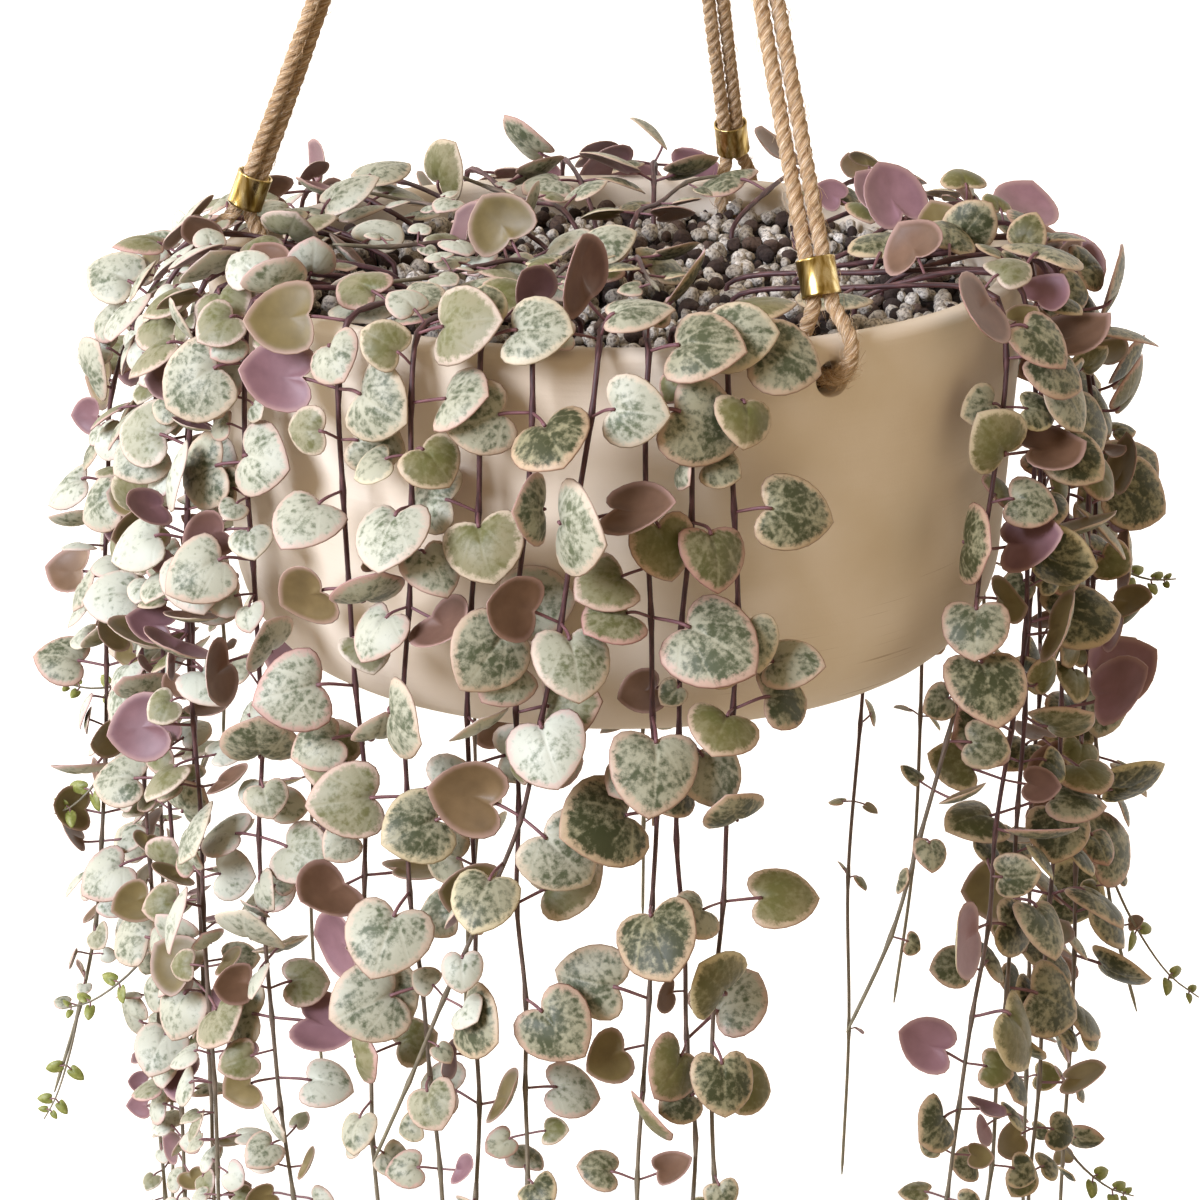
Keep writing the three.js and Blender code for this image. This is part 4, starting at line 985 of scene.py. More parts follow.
class Lumps:
    """Convex pieces of up to nine points, for testing what comes near a leaf."""

    def __init__(self, lumps=()):
        lumps = list(lumps)
        self.points = np.array([[*p, *[p[-1]] * (9 - len(p))] for p, _, _ in lumps]).reshape(-1, 9, 3)
        self.middles = np.array([np.mean(p, axis=0) for p, _, _ in lumps]).reshape(-1, 3)
        self.thick = np.array([thick for _, thick, _ in lumps])
        self.axes = np.array([axis for _, _, axis in lumps]).reshape(-1, 3)
        gaps = np.linalg.norm(self.points - self.middles[:, None], axis=2)
        self.reach = gaps.max(axis=1, initial=0) + self.thick if len(lumps) else np.zeros(0)

    def clear_of(self, lump):
        """True where, for every piece, some direction parts it from the lump by the clearance."""
        points, thick, axis = lump
        if not len(self.thick):
            return True
        points = np.array(points)
        middle = points.mean(axis=0)
        reach = np.linalg.norm(points - middle, axis=1).max() + thick
        between = self.middles - middle
        near = np.linalg.norm(between, axis=1) <= reach + self.reach + LEAF_CLEARANCE
        if not near.any():
            return True
        between, axes = between[near], self.axes[near]
        own = np.broadcast_to(axis, axes.shape)
        ways = [own, axes, np.cross(own, axes), between]
        for direction in (own, axes):
            ways.append(between - direction * (between * direction).sum(axis=1)[:, None])
        ways = np.stack(ways, 1)
        lengths = np.linalg.norm(ways, axis=2)
        ways = ways / np.maximum(lengths, 1e-12)[:, :, None]
        mine = ways @ points.T
        theirs = np.einsum("kwx,kpx->kwp", ways, self.points[near])
        needed = (thick + self.thick[near] + LEAF_CLEARANCE)[:, None]
        parted = (theirs.min(axis=2) - mine.max(axis=2) > needed) | (
            mine.min(axis=2) - theirs.max(axis=2) > needed
        )
        return bool((parted & (lengths >= 1e-6)).any(axis=1).all())


def in_pot(point):
    """True where a point is in, or too near, the pot or the mix."""
    radius = math.hypot(point[0], point[1])
    if point[2] > POT_CLEARANCE or point[2] < -POT_HEIGHT - POT_CLEARANCE:
        return False
    if radius > RIM_RADIUS - WALL - POT_CLEARANCE:
        return radius < outer_radius(max(0, -point[2])) + POT_CLEARANCE
    return point[2] < -SOIL_DEPTH + MIX_CLEARANCE


def leaf_pose(station, heading, angle, width, draw):
    """Where one leaf lies: its stalk's way, its blade's own directions and its notch."""
    away = unit(np.array([station[0], station[1], 0]))
    upright = abs(heading[2])
    opened = square_to(heading, away * upright + UP * (1 - upright))
    side = np.cross(heading, opened)
    turn = math.radians(angle + SCATTER_ROUND * (next(draw) - 0.5))
    rise = math.radians(SCATTER_DROOP + SCATTER_RISE * next(draw))
    stalk = opened * math.cos(turn) + side * math.sin(turn)
    stalk = unit(stalk * math.cos(rise) - heading * math.sin(rise))
    light = away * LIGHT_OUT * upright + UP * (LIGHT_UP - LIGHT_LESS * upright)
    loose = LOOSE[0] + LOOSE[1] * upright
    front = (LIGHT_FRONT[0] + LIGHT_FRONT[1] * upright) * (1 - away[1])
    light[0] += loose * (next(draw) - 0.5)
    light[1] += loose * (next(draw) - 0.5) - front
    light[2] += LOOSE_RISE * upright * (next(draw) - 0.5)
    normal = unit(light)
    if next(draw) < UNDERSIDE[0] + upright * (UNDERSIDE[1] + UNDERSIDE_BESIDE * abs(away[0])):
        normal = turn_about(stalk, normal, math.radians(UNDERSIDE_TURN))
    sink = upright * (SINK[0] + SINK[1] * next(draw))
    along = square_to(normal, stalk - UP * sink)
    share = STALK_REACH[0] + STALK_REACH[1] * upright + STALK_REACH[2] * next(draw)
    notch = station + stalk * (STALK_LEAST + width * share)
    return {"station": station, "stalk": stalk, "along": along, "normal": normal,
            "across": np.cross(along, normal), "notch": notch, "width": width}


def blade_point(leaf, across, along, above):
    flat = leaf["across"] * across + leaf["along"] * along
    return leaf["notch"] + flat * leaf["width"] + leaf["normal"] * above


def blade_rise(width):
    """How high the middle of a blade stands over its notch."""
    return BLADE_RISE * min(1, width / FULL_RISE)


def leaf_lumps(leaf, stem_lumps, around):
    """The blade and the stalk as lumps, or nothing if the leaf would foul something."""
    stalk, width = leaf["stalk"], leaf["width"]
    over_lobe = abs(stalk @ leaf["across"]) > STALK_ACROSS
    if over_lobe or stalk @ leaf["normal"] < STALK_OVER or stalk @ leaf["along"] < STALK_ALONG:
        return None
    right = [corner for i, corner in enumerate(BLADE) if width >= SMALL_LEAF or i != 2]
    outline = [*right, *[(-a, b, droop) for a, b, droop in right[-2::-1]]]
    edge = [blade_point(leaf, a, b, -droop * width) for a, b, droop in outline]
    middle = blade_point(leaf, 0, BLADE_MIDDLE, blade_rise(width))
    halfway = [(point + middle) / 2 for point in edge]
    along_edge = [(a + b) / 2 for a, b in zip(edge, edge[1:])]
    if any(in_pot(point) for point in [*edge, *along_edge, *halfway, middle, leaf["notch"]]):
        return None
    blade = ([*edge, middle, blade_point(leaf, 0, 0, -STALK_RADIUS)], 0, leaf["normal"])
    start = leaf["station"] + stalk * STALK_START
    stalk_lump = ([start, leaf["notch"]], STALK_RADIUS, stalk)
    clear = stem_lumps.clear_of(blade) and all(
        lumps.clear_of(blade) and lumps.clear_of(stalk_lump) for lumps in around
    )
    return [blade, stalk_lump] if clear else None


def folded_angle(whole, least, station):
    """A leaf's angle round its stem, kept off the pot where the pot or the mix is behind it."""
    if station[2] <= -POT_HEIGHT - BELOW_POT:
        return whole
    return np.sign(whole) * mix(least, WALL_SPREAD, abs(whole) / 180)


def grow_leaves(stem, others):
    """A stem's leaves. Each tries a few places, and is left out where none of them is clear."""
    last = len(stem["stations"]) - 1
    grown, leaves = [], []
    for i in range(2, last):
        if stem["hangs"] and i == 3:
            continue
        station, heading = stem["stations"][i], stem["headings"][i]
        least = CROWN_SPREAD if abs(heading[2]) < UPRIGHT else 0
        for opposite in [0] if i == last - 1 else [0, 180]:
            draw = draws(STEM_SEED * stem["number"] + STATION_SEED * i + opposite)
            whole = (stem["phase"] + PAIR_TURN * i + opposite + 180) % 360 - 180
            angle = folded_angle(whole, least, station)
            full = stem["leaf"] * young_size(stem, i) * (LEAF_LEAST + LEAF_CHANCE * next(draw))
            if stem["hangs"] and abs(whole) > SHADED_ANGLE and next(draw) < SHADED_SHARE:
                continue
            for attempt in range(TRIES):
                leaf = leaf_pose(station, heading, angle, full * (1 - SHRINK * attempt), draw)
                lumps = leaf_lumps(leaf, stem["lumps"], [Lumps(grown), others])
                if lumps:
                    leaves.append({**leaf, "at": i})
                    grown += lumps
                    break
    return leaves, grown


def young_size(stem, i):
    """The size of the leaves at or past a station, smaller towards the tip."""
    back = len(stem["stations"]) - 2 - i
    return YOUNG[back] if back < len(YOUNG) else 1


def make_stem(stations, number, leaf, hangs):
    runs = [([a, b], STEM_CLEAR_RADIUS, unit(b - a)) for a, b in zip(stations, stations[1:])]
    return {"number": number, "stations": stations, "headings": headings_of(stations), "runs": runs,
            "lumps": Lumps(runs), "leaf": leaf, "hangs": hangs, "phase": (PHASE * number) % 360}


def hanger_lumps(azimuth, hand):
    route = rope_points(azimuth, hand)
    runs = [([a, b], ROPE_RADIUS + ROPE_MARGIN, unit(b - a)) for a, b in zip(route, route[1:])]
    axis = unit(UP - outward(azimuth) * FERRULE_LEAN)
    middle = place(azimuth, FERRULE_OUT, FERRULE_HEIGHT)
    return [*runs, ([middle - axis * FERRULE_HALF, middle + axis * FERRULE_HALF], FERRULE_RADIUS, axis)]


def all_but(stem):
    """What a stem's leaves must keep clear of: the hangers, the other stems and all leaves."""
    other_runs = [run for other in stems if other is not stem for run in other["runs"]]
    return Lumps([*all_hangers, *other_runs, *grown_lumps])


stems = [
    make_stem(strand_course(strand, draws(STRAND_SEED + COURSE_SEED * i)), i, strand[6], True)
    for i, strand in enumerate(STRANDS)
]
stems += [
    make_stem(spray_course(spray, draws(SPRAY_SEED + COURSE_SEED * i)), 100 + i, spray[2], False)
    for i, spray in enumerate(SPRAYS)
]
all_hangers = [lump for _, azimuth, hand in HANGERS for lump in hanger_lumps(azimuth, hand)]
grown_lumps = []
for stem in stems:
    stem["leaves"], new_lumps = grow_leaves(stem, all_but(stem))
    grown_lumps += new_lumps


# Side growth: smaller leaf pairs on short side buds half way between the nodes, more of them
# where the plant is fullest, each kept clear of all that is there already.
FULLEST = ((-125, -46), (52, 108))  # azimuths between which every internode has buds
LEAFY_CROWN = (-130, 24)  # azimuths between which the stems have buds over the mix too
BUD_SHARE = 0.5  # of the internodes that have one elsewhere
BUD_WIDTH = (0.5, 0.88)
CROWN_WIDTH = (0.7, 1.0)
BUD_TRIES = 8
BUD_SHRINK = 0.04
BUD_PLACES = (0.5,)  # how far along an internode its bud stands
FULL_PLACES = (0.36, 0.68)  # where the curtain on the left is fullest


def random_stream(random):
    """An endless stream of numbers from 0 to 1, as draws gives, but from numpy's own."""
    while True:
        yield random.uniform()


def bud_leaves(stem, others, random):
    """Leaf pairs at side buds along a stem."""
    stations, headings = stem["stations"], stem["headings"]
    draw = random_stream(random)
    grown, leaves = [], []
    azimuth = math.degrees(math.atan2(stations[3][0], -stations[3][1]))
    full = any(low < azimuth < high for low, high in FULLEST)
    leafy = LEAFY_CROWN[0] < azimuth < LEAFY_CROWN[1]
    last = len(stations) - 1
    for i in range(1 if leafy else 3, last - 1):
        crown = i < 3
        for share in FULL_PLACES if full and azimuth < 0 and i > 3 else BUD_PLACES:
            if not full and not crown and next(draw) > BUD_SHARE:
                continue
            station = mix(stations[i], stations[i + 1], share)
            heading = unit(mix(headings[i], headings[i + 1], share))
            start = random.uniform(-180, 180)
            for opposite in (0, 180):
                whole = (start + opposite + 180) % 360 - 180
                angle = folded_angle(whole, CROWN_SPREAD if crown else 0, station)
                for attempt in range(BUD_TRIES):
                    size = random.uniform(*(CROWN_WIDTH if crown else BUD_WIDTH))
                    width = stem["leaf"] * young_size(stem, i) * size * (1 - BUD_SHRINK * attempt)
                    leaf = leaf_pose(station, heading, angle, width, draw)
                    lumps = leaf_lumps(leaf, stem["lumps"], [Lumps(grown), others])
                    if lumps:
                        leaves.append({**leaf, "at": i + share})
                        grown += lumps
                        break
    return leaves, grown


bud_random = np.random.default_rng(77)
for stem in stems:
    stem["buds"], new_lumps = bud_leaves(stem, all_but(stem), bud_random)
    grown_lumps += new_lumps


# The leaf itself. Half of its outline from the notch to the tip: across and along, in leaf widths.
OUTLINE = [
    (0.0, 0.01), (0.07, -0.06), (0.16, -0.11), (0.27, -0.125), (0.38, -0.085), (0.462, 0.015), (0.5, 0.15),
    (0.492, 0.295), (0.45, 0.43), (0.37, 0.555), (0.26, 0.66), (0.125, 0.745), (0.0, 0.80),
]
BLADE_RINGS = (0.22, 0.46, 0.68, 0.86, 0.965)
UNDER_RINGS = (0.965, 0.72, 0.38)
BLADE_THICK = 0.85  # at the middle; the margin is under half of that
HALF_CREASE = 0.9  # millimetres from the midrib to where the crease fades
STEM_RADII = (0.68, 0.48)  # at the root and at the tip
NODE_SWELL = 0.22
STEM_STEP = 4.0
STEM_CORNERS = 7
STALK_CORNERS = 6
STALK_RADII = (0.38, 0.46)
# Sizes of the patterns in millimetres.
VEIN_CELL = 2.174
BLOT = 7.69
FLECK = 1.613
UNDER_BLOT = 5.0
BARK_STREAK = (0.625, 4.0)  # round the stem and along it
VEIN_FAN = 0.27  # radians between the main veins, folded in pairs
LEAF_SEED = 61.0  # spreads the leaves' chances over the patterns' fourth dimension


def leaf_material():
    """Waxy upper face: silver flecked over grey-green between fine pale veins, cream margin."""
    material, tree, shader = new_material("leaf_upper_waxy", {"Roughness": 0.48, "Specular IOR Level": 0.35})
    flat = add_node(tree, "UVMap", uv_map="UVMap")["UV"]
    tone = add_node(tree, "Attribute", attribute_name="tone")
    split = add_node(tree, "SeparateColor", {"Color": tone["Color"]})
    rim, silver, blush, chance = split["Red"], split["Green"], split["Blue"], tone["Alpha"]
    seed = add_node(tree, "Math", {0: chance, 1: LEAF_SEED}, operation="MULTIPLY")[0]
    cells = add_node(
        tree, "TexVoronoi", {"Vector": flat, "W": seed, "Scale": 1 / VEIN_CELL, "Randomness": 1.0},
        voronoi_dimensions="4D", feature="DISTANCE_TO_EDGE",
    )["Distance"]
    blots = add_node(
        tree, "TexNoise", {"Vector": flat, "W": seed, "Scale": 1 / BLOT, "Detail": 2.0},
        noise_dimensions="4D",
    )["Fac"]
    flecks = add_node(
        tree, "TexNoise",
        {"Vector": flat, "W": seed, "Scale": 1 / FLECK, "Detail": 5.0, "Roughness": 0.68},
        noise_dimensions="4D",
    )["Fac"]

    # Veins fan out from the notch, and a net of finer ones lies between them.
    place_on = add_node(tree, "SeparateXYZ", {"Vector": flat})
    aside = add_node(tree, "Math", {0: place_on["X"]}, operation="ABSOLUTE")[0]
    ahead = add_node(tree, "Math", {0: place_on["Y"], 1: 0.6}, operation="ADD")[0]
    fan = add_node(tree, "Math", {0: aside, 1: ahead}, operation="ARCTAN2")[0]
    folded = add_node(tree, "Math", {0: fan, 1: VEIN_FAN}, operation="PINGPONG")[0]
    from_notch = add_node(tree, "VectorMath", {0: flat}, operation="LENGTH")["Value"]
    rib_gap = add_node(tree, "Math", {0: folded, 1: from_notch}, operation="MULTIPLY")[0]
    off_vein, off_net = [
        add_node(
            tree, "MapRange", {"Value": gap, "From Min": low, "From Max": high},
            interpolation_type="SMOOTHSTEP",
        )["Result"]
        for gap, low, high in ((rib_gap, 0.08, 0.55), (cells, 0.02, 0.3))
    ]
    veins = add_node(tree, "Math", {0: 1.0, 1: off_vein}, operation="SUBTRACT")[0]
    net = add_node(tree, "Math", {0: 1.0, 1: off_net}, operation="SUBTRACT")[0]

    # The more of these there is at a spot, the more silver it is.
    rim_cubed = add_node(tree, "Math", {0: rim, 1: 3.0}, operation="POWER")[0]
    field = 0.0
    for term, weight in (
        (blots, 1.2), (flecks, 1.5), (net, 0.16), (veins, 0.14), (silver, 0.3), (rim_cubed, 0.22),
    ):
        field = add_node(tree, "Math", {0: term, 1: weight, 2: field}, operation="MULTIPLY_ADD")[0]
    off_centre = add_node(tree, "Math", {0: flecks, 1: 0.5}, operation="SUBTRACT")[0]
    ragged = add_node(tree, "Math", {0: off_centre, 1: 0.5, 2: rim}, operation="MULTIPLY_ADD")[0]
    share, olive_leaf, margin, brink = [
        add_node(
            tree, "MapRange", {"Value": value, "From Min": low, "From Max": high},
            interpolation_type="SMOOTHSTEP",
        )["Result"]
        for value, low, high in (
            (field, 1.38, 1.88), (chance, 0.68, 0.82), (ragged, 0.78, 0.95), (rim, 0.95, 1.0),
        )
    ]
    pink = add_node(tree, "Math", {0: blush, 1: 0.15}, operation="ADD")[0]
    outlined = add_node(tree, "Math", {0: brink, 1: pink}, operation="MULTIPLY")[0]
    olive_share, margin_share, outline_share = [
        add_node(tree, "Math", {0: value, 1: strength}, operation="MULTIPLY")[0]
        for value, strength in ((olive_leaf, 0.75), (margin, 0.85), (outlined, 0.6))
    ]

    # Each colour runs from a green leaf's to a silvery one's; the olives follow the blots.
    deep, bright, cream_pale, cream_pink, olive = [
        add_node(tree, "Mix", {0: way, 6: first, 7: second}, data_type="RGBA")[2]
        for way, first, second in (
            (silver, "#3B3F24", "#6A755B"), (silver, "#938F70", "#C4C8B8"),
            (silver, "#CBBE93", "#D9D1C0"), (silver, "#B8907F", "#CDA9A2"), (blots, "#535D20", "#85744A"),
        )
    ]
    cream = add_node(tree, "Mix", {0: blush, 6: cream_pale, 7: cream_pink}, data_type="RGBA")[2]
    colour = deep
    for part, shade in (
        (share, bright), (olive_share, olive), (margin_share, cream), (outline_share, "#9A6A68"),
    ):
        colour = add_node(tree, "Mix", {0: part, 6: colour, 7: shade}, data_type="RGBA")[2]
    pitted = add_node(tree, "Math", {0: flecks, 1: 0.6}, operation="MULTIPLY")[0]
    relief = add_node(tree, "Math", {0: veins, 1: -0.25, 2: pitted}, operation="MULTIPLY_ADD")[0]
    bump = add_node(tree, "Bump", {"Height": relief, "Strength": 0.4, "Distance": 0.0003})["Normal"]
    set_sockets(tree, shader, {"Base Color": colour, "Normal": bump})
    return material


def underside_material():
    """Smooth lower face: mauve, browner on silvery plants, brown or olive on some leaves."""
    material, tree, shader = new_material("leaf_underside", {"Roughness": 0.5})
    flat = add_node(tree, "UVMap", uv_map="UVMap")["UV"]
    tone = add_node(tree, "Attribute", attribute_name="tone")
    split = add_node(tree, "SeparateColor", {"Color": tone["Color"]})
    chance = tone["Alpha"]
    seed = add_node(tree, "Math", {0: chance, 1: LEAF_SEED}, operation="MULTIPLY")[0]
    blots = add_node(
        tree, "TexNoise", {"Vector": flat, "W": seed, "Scale": 1 / UNDER_BLOT, "Detail": 4.0},
        noise_dimensions="4D",
    )["Fac"]
    green_side, silver_side, brown, olive = [
        add_node(tree, "Mix", {0: blots, 6: dark, 7: pale}, data_type="RGBA")[2]
        for dark, pale in (
            ("#76545C", "#A88089"), ("#53363A", "#836062"), ("#4E3524", "#866650"), ("#524624", "#8A7A4C"),
        )
    ]
    brown_leaf, olive_leaf, margin = [
        add_node(
            tree, "MapRange", {"Value": value, "From Min": low, "From Max": high},
            interpolation_type="SMOOTHSTEP",
        )["Result"]
        for value, low, high in ((chance, 0.28, 0.4), (chance, 0.66, 0.76), (split["Red"], 0.8, 1.0))
    ]
    margin_share = add_node(tree, "Math", {0: margin, 1: 0.5}, operation="MULTIPLY")[0]
    colour = green_side
    for share, shade in (
        (split["Green"], silver_side), (brown_leaf, brown), (olive_leaf, olive), (margin_share, "#CDA9A0"),
    ):
        colour = add_node(tree, "Mix", {0: share, 6: colour, 7: shade}, data_type="RGBA")[2]
    bump = add_node(tree, "Bump", {"Height": blots, "Strength": 0.25, "Distance": 0.0003})["Normal"]
    set_sockets(tree, shader, {"Base Color": colour, "Normal": bump})
    return material


def stem_material():
    """Wiry stem bark: dark purple-brown, fading to grey-green where young, and mauve stalks."""
    material, tree, shader = new_material("stem_bark", {"Roughness": 0.55})
    flat = add_node(tree, "UVMap", uv_map="UVMap")["UV"]
    tone = add_node(tree, "Attribute", attribute_name="tone")["Color"]
    split = add_node(tree, "SeparateColor", {"Color": tone})
    streak_scale = (1 / BARK_STREAK[0], 1 / BARK_STREAK[1], 1)
    streaked = add_node(tree, "Mapping", {"Vector": flat, "Scale": streak_scale})["Vector"]
    streaks = add_node(tree, "TexNoise", {"Vector": streaked, "Scale": 1.0, "Detail": 3.0})["Fac"]
    old, young, stalk = [
        add_node(tree, "ValToRGB", {"Fac": streaks}, stops=stops)["Color"]
        for stops in (
            [(0.3, "#351F20"), (0.5, "#4D2E30"), (0.7, "#6E4847")],
            [(0.3, "#6E6A58"), (0.7, "#9A957C")],
            [(0.3, "#6B414A"), (0.7, "#94686A")],
        )
    ]
    stem_colour = add_node(tree, "Mix", {0: split["Red"], 6: old, 7: young}, data_type="RGBA")[2]
    colour = add_node(tree, "Mix", {0: split["Green"], 6: stem_colour, 7: stalk}, data_type="RGBA")[2]
    bump = add_node(tree, "Bump", {"Height": streaks, "Strength": 0.3, "Distance": 0.0002})["Normal"]
    set_sockets(tree, shader, {"Base Color": colour, "Normal": bump})
    return material


def add_tube(mesh, route, radii, corners, slot, tones):
    """A tapering round tube, closed at both ends."""
    _, sides, ups = frames_along(route)
    gone = distance_along(route)
    turns = full_turn(corners)
    rings = []
    for i, spot in enumerate(route):
        spokes = np.outer(np.cos(turns), sides[i]) + np.outer(np.sin(turns), ups[i])
        uvs = np.stack([turns * radii[i], np.full(corners, gone[i])], 1)
        rings.append(mesh.points(spot + spokes * radii[i], uvs, tones[i]))
    mesh.tube(rings, slot)


def add_blade(mesh, leaf, silver, blush, random, slim=1.0):
    """A heart-shaped blade: domed, creased along the midrib, with a thin rounded margin."""
    width = leaf["width"]
    stretch, plump, notched = [random.uniform(*span) for span in ((0.94, 1.1), (0.92, 1.04), (0.4, 1.25))]
    pinch = random.uniform(-0.25, 0.3)
    half = [
        (a * slim * plump * (1 - pinch * max(0, b - 0.3)), b * (stretch if b > 0 else notched))
        for a, b in OUTLINE
    ]
    outline = np.array([*half, *[(-a, b) for a, b in half[-2:0:-1]]])
    outline[:, 0] += random.uniform(-0.06, 0.06) * outline[:, 1]
    middle = np.array([0.0, 0.3])
    rise = blade_rise(width)
    cup, curl, wave = [random.uniform(*span) for span in ((-0.03, 0.035), (0.0, 0.22), (0, 0.018))]
    phase = random.uniform(0, 6.3)
    chance = random.uniform(0, 1)
    angles = np.arctan2(outline[:, 0], outline[:, 1] - middle[1])

    def height(flat, share):
        dome = rise * (1 - share**2) - 0.058 * width * share**2
        crease = -0.3 * np.exp(-((flat[:, 0] * width / HALF_CREASE) ** 2)) * min(1, width / 16)
        sides = cup * width * (2 * flat[:, 0]) ** 2
        tip = -curl * width * np.maximum(0, flat[:, 1] - 0.45) ** 2
        ripple = wave * width * share**3 * np.sin(3 * angles + phase) if share else 0
        return dome + crease + sides + tip + ripple

    def ring(share, drop):
        flat = middle + (outline - middle) * share
        spots = np.outer(flat[:, 0], leaf["across"]) + np.outer(flat[:, 1], leaf["along"])
        spots = leaf["notch"] + spots * width + np.outer(height(flat, share) - drop, leaf["normal"])
        return mesh.points(spots, flat * width, (share, silver, blush, chance))

    def centre(drop):
        high = height(middle[None], 0)[0] - drop
        spot = leaf["notch"] + leaf["along"] * middle[1] * width + leaf["normal"] * high
        return mesh.points(spot, middle * width, (0, silver, blush, chance))[0]

    def thick(share):
        return BLADE_THICK * (1 - 0.6 * share**2) * min(1, 0.4 + width / 30)

    top = centre(0)
    rings = [ring(share, 0) for share in BLADE_RINGS]
    brink = ring(1.0, thick(1) / 2)
    lower = [ring(share, thick(share)) for share in UNDER_RINGS]
    bottom = centre(thick(0))
    for i in range(len(outline)):
        j = (i + 1) % len(outline)
        mesh.face((top, rings[0][i], rings[0][j]), 0)
        mesh.face((bottom, lower[-1][j], lower[-1][i]), 1)
    for inner_ring, outer_ring in zip(rings, [*rings[1:], brink]):
        mesh.sleeve(outer_ring, inner_ring, 0)
    for outer_ring, inner_ring in zip([brink, *lower], lower):
        mesh.sleeve(inner_ring, outer_ring, 1)


def add_stalk(mesh, leaf, young):
    """The stalk: from the node, bending into the notch and a little way under the blade."""
    start, notch = leaf["station"], leaf["notch"]
    reach = np.linalg.norm(notch - start)
    end = notch + leaf["along"] * 0.05 * leaf["width"] - leaf["normal"] * 0.25
    bends = [start, start + leaf["stalk"] * 0.45 * reach, end - leaf["along"] * 0.3 * reach, end]
    shares = np.linspace(0, 1, 7)[:, None]
    route = (
        bends[0] * (1 - shares) ** 3 + 3 * bends[1] * shares * (1 - shares) ** 2
        + 3 * bends[2] * shares**2 * (1 - shares) + bends[3] * shares**3
    )
    radii = np.linspace(*STALK_RADII, len(route)) * min(1, 0.45 + leaf["width"] / 36)
    add_tube(mesh, route, radii, STALK_CORNERS, 2, [(young, 0.8, 0, 0)] * len(route))


def add_stem(mesh, stem):
    """The stem itself, with a small swelling at each node, narrowing to a fine closed tip."""
    route = smooth_route(stem["stations"], STEM_STEP)
    shares = np.linspace(0, 1, len(route))
    radii = mix(*STEM_RADII, shares)
    for station in stem["stations"][2:]:
        radii[np.linalg.norm(route - station, axis=1).argmin()] += NODE_SWELL
    radii[-1] = 0.2
    tones = [(age, 0, 0, 0) for age in np.clip((shares - 0.55) / 0.45, 0, 1)]
    add_tube(mesh, route, radii, STEM_CORNERS, 2, tones)


def add_leaves(mesh, stem, leaves, random):
    """Leaves with their stalks. Plants on the left are the more silvery ones."""
    at = stem["stations"][-1]
    side = at[0] / math.hypot(at[0], at[1])
    for leaf in leaves:
        age = leaf["at"] / (len(stem["stations"]) - 1)
        add_stalk(mesh, leaf, max(0, age - 0.5))
        silver = min(1, max(0, 0.33 - 0.48 * side + random.normal(0, 0.2)))
        blush = min(1, max(0, 0.5 + random.normal(0, 0.25)))
        add_blade(mesh, leaf, silver, blush, random)


vine_materials = [leaf_material(), underside_material(), stem_material()]
for stem in stems:
    leaf_random = np.random.default_rng(900 + stem["number"])
    number = stem["number"] % 100 + 1
    node = f"vine_{number:02d}" if stem["hangs"] else f"crown_{number:02d}"
    vine_mesh = Mesh()
    add_stem(vine_mesh, stem)
    add_leaves(vine_mesh, stem, stem["leaves"], leaf_random)
    vine_mesh.piece(f"hearts_{node}", vine_materials, node, "foliage")
    if stem["buds"]:
        bud_mesh = Mesh()
        add_leaves(bud_mesh, stem, stem["buds"], leaf_random)
        bud_mesh.piece(f"hearts_side_growth_{number:02d}", vine_materials, None, "foliage")


# ---- Young shoots ----
# Thread-thin side stems that stand off the hanging ones, with a few lime leaves at their ends
# that have only just opened.

# The stem it springs from, at what depth, its run across, back and up, and its leaf width.
SHOOTS = [
    (2, 205, (-10, -6, -30), 5.5),
    (2, 138, (-13, -4, -11), 6.0),
    (1, 116, (-26, -4, -3), 5.0),
    (3, 178, (-24, -6, -16), 5.5),
    (0, 30, (-14, -8, 2), 6.0),
    (21, 75, (20, -6, -6), 5.5),
    (21, 160, (26, -4, -38), 6.5),
    (20, 232, (18, -6, -12), 6.0),
    (18, 240, (-24, -8, -9), 6.5),
    (11, 205, (-20, -9, -10), 6.0),
    (13, 222, (19, -8, -14), 6.0),
]
SHOOT_PAIRS = ((0.52, 1.0), (0.8, 0.85), (0.985, 0.55))  # how far along it, and size
SHOOT_STEP = 3.0
SHOOT_SAG = 0.12  # of its length
SHOOT_RADII = (0.42, 0.2)
YOUNG_SLIM = 0.62  # the width of a young blade, as a share of a grown one's
LIME_BLOT = 2.0

lime_material, lime_tree, lime_shader = new_material("leaf_young_lime", {"Roughness": 0.5})
lime_flat = add_node(lime_tree, "UVMap", uv_map="UVMap")["UV"]
lime_blots = add_node(
    lime_tree, "TexNoise", {"Vector": lime_flat, "Scale": 1 / LIME_BLOT, "Detail": 3.0}
)["Fac"]
lime_colour = add_node(
    lime_tree, "ValToRGB", {"Fac": lime_blots}, stops=[(0.35, "#68702C"), (0.55, "#8C924A"), (0.7, "#B3B27E")]
)["Color"]
set_sockets(lime_tree, lime_shader, {"Base Color": lime_colour})


def add_young_leaf(mesh, station, stalk, normal, width, size, random):
    new_leaf = {
        "station": station, "stalk": stalk, "along": stalk, "normal": normal,
        "across": np.cross(stalk, normal), "notch": station + stalk * 1.6 * size, "width": width * size,
    }
    add_stalk(mesh, new_leaf, 0.8)
    add_blade(mesh, new_leaf, 0.5, 0.2, random, YOUNG_SLIM)


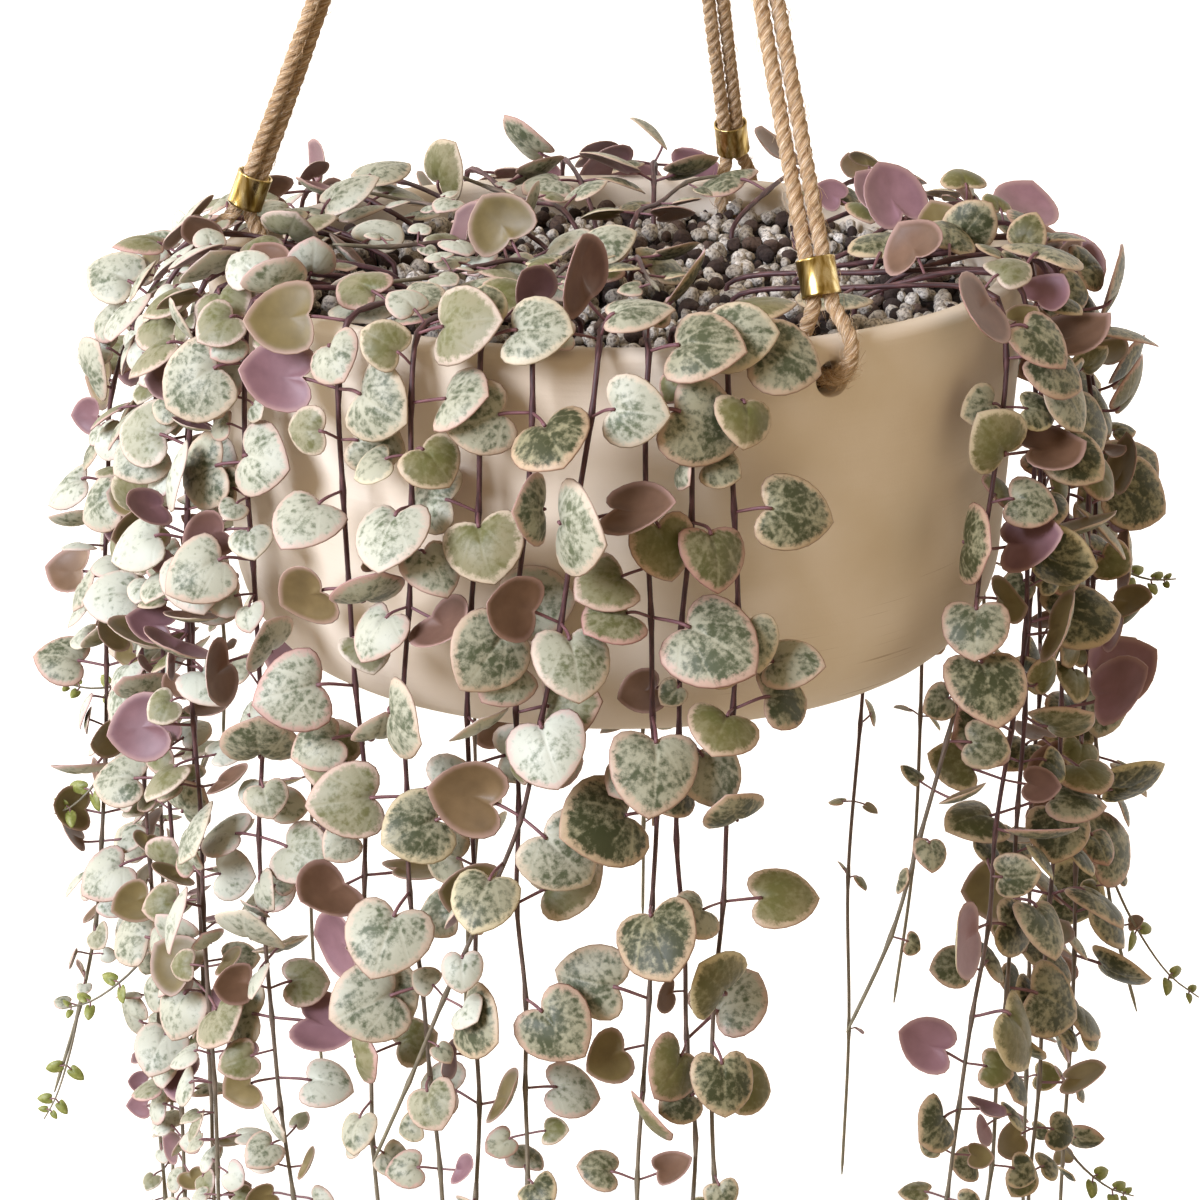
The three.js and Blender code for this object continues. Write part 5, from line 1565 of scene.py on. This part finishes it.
shoot_materials = [lime_material, lime_material, vine_materials[2]]
shoot_random = np.random.default_rng(3)
for count, (number, depth, run, width) in enumerate(SHOOTS):
    route = smooth_route(stems[number]["stations"], STEM_STEP)
    springs = route[np.abs(route[:, 2] + depth).argmin()]
    run = np.array(run, float)
    sag = np.array([0, 0, -SHOOT_SAG * np.linalg.norm(run)])
    shoot_route = smooth_route(
        [springs, springs + 0.3 * run + sag, springs + 0.7 * run + sag, springs + run], SHOOT_STEP
    )
    shares = np.linspace(0, 1, len(shoot_route))
    tones = [(0.6 + 0.4 * share, 0, 0, 0) for share in shares]
    shoot_mesh = Mesh()
    add_tube(shoot_mesh, shoot_route, mix(*SHOOT_RADII, shares), STALK_CORNERS, 2, tones)
    for share, size in SHOOT_PAIRS:
        at = int(share * (len(shoot_route) - 1))
        heading = unit(shoot_route[at] - shoot_route[at - 1])
        across = square_to(heading, np.array([0.2, -0.5, 1.0]))
        for side in (-1, 1):
            stalk = unit(np.cross(heading, across) * side + heading * 0.5)
            normal = square_to(stalk, across + shoot_random.normal(0, 0.35, 3))
            add_young_leaf(shoot_mesh, shoot_route[at], stalk, normal, width, size, shoot_random)
    shoot_mesh.piece(f"hearts_young_shoot_{count + 1:02d}", shoot_materials, None, "foliage")


# ---- Floor and light ----
# A pale cove far below the planter, lit evenly, and two large soft lights to the left.

COVE_FLOOR = 4.0  # metres out to where the floor starts to rise
COVE_LEVEL = -2.6
COVE_ROUND = 2.0
COVE_TOP = 6.0
COVE_STEPS = 48  # of each half

cove_material, _, _ = new_material(
    "cove_painted_white",
    {"Base Color": "#FFFFFF", "Roughness": 1.0, "Emission Color": "#FFFFFF", "Emission Strength": 1.0},
)
cove_profile = [
    (COVE_FLOOR, COVE_LEVEL),
    *[
        (COVE_FLOOR + COVE_ROUND * math.sin(turn), COVE_LEVEL + COVE_ROUND * (1 - math.cos(turn)))
        for turn in np.radians(np.arange(9, 91, 9))
    ],
    (COVE_FLOOR + COVE_ROUND, COVE_TOP),
]


def add_cove_half(name, start, reflected):
    """Half of the floor and of the wall that rises from it. Only polished things mirror it."""
    turns = start + np.linspace(0, np.pi, COVE_STEPS + 1)
    spots = [(r * math.cos(turn), r * math.sin(turn), z) for r, z in cove_profile for turn in turns]
    faces = [tuple(range(len(turns)))]
    for row in range(len(cove_profile) - 1):
        for i in range(row * len(turns), row * len(turns) + COVE_STEPS):
            faces.append((i, i + 1, i + 1 + len(turns), i + len(turns)))
    data = bpy.data.meshes.new(name)
    data.from_pydata(spots, [], faces)
    data.materials.append(cove_material)
    data.polygons.foreach_set("use_smooth", [True] * len(faces))
    half = bpy.data.objects.new(name, data)
    bpy.context.scene.collection.objects.link(half)
    half.visible_diffuse = False
    half.visible_shadow = False
    half.visible_glossy = reflected


add_cove_half("cove_behind", 0, True)
add_cove_half("cove_in_front", np.pi, False)

world = bpy.data.worlds.new("studio")
bpy.context.scene.world = world
world.use_nodes = True
set_sockets(world.node_tree, world.node_tree.nodes["Background"], {"Color": "#FFE6C4", "Strength": 0.55})

# Each light: its name, place, diameter, power and colour. Both aim at the pot.
LIGHTS = (
    ("window", (-1.8, -1.6, 0.9), 1.4, 112, "#E4EAFC"),
    ("fill", (-2.2, 0.6, 0.2), 1.2, 20, "#FFF8EE"),
)
LIT_POINT = Vector((0, 0, -0.35))

for name, spot, size, power, colour in LIGHTS:
    light = bpy.data.lights.new(name, "AREA")
    light.shape, light.size, light.energy = "DISK", size, power
    light.color = linear(colour)[:3]
    softbox = bpy.data.objects.new(name, light)
    softbox.location = spot
    softbox.rotation_euler = (LIT_POINT - Vector(spot)).to_track_quat("-Z", "Y").to_euler()
    bpy.context.scene.collection.objects.link(softbox)
bpy.context.scene.view_settings.view_transform = "Standard"
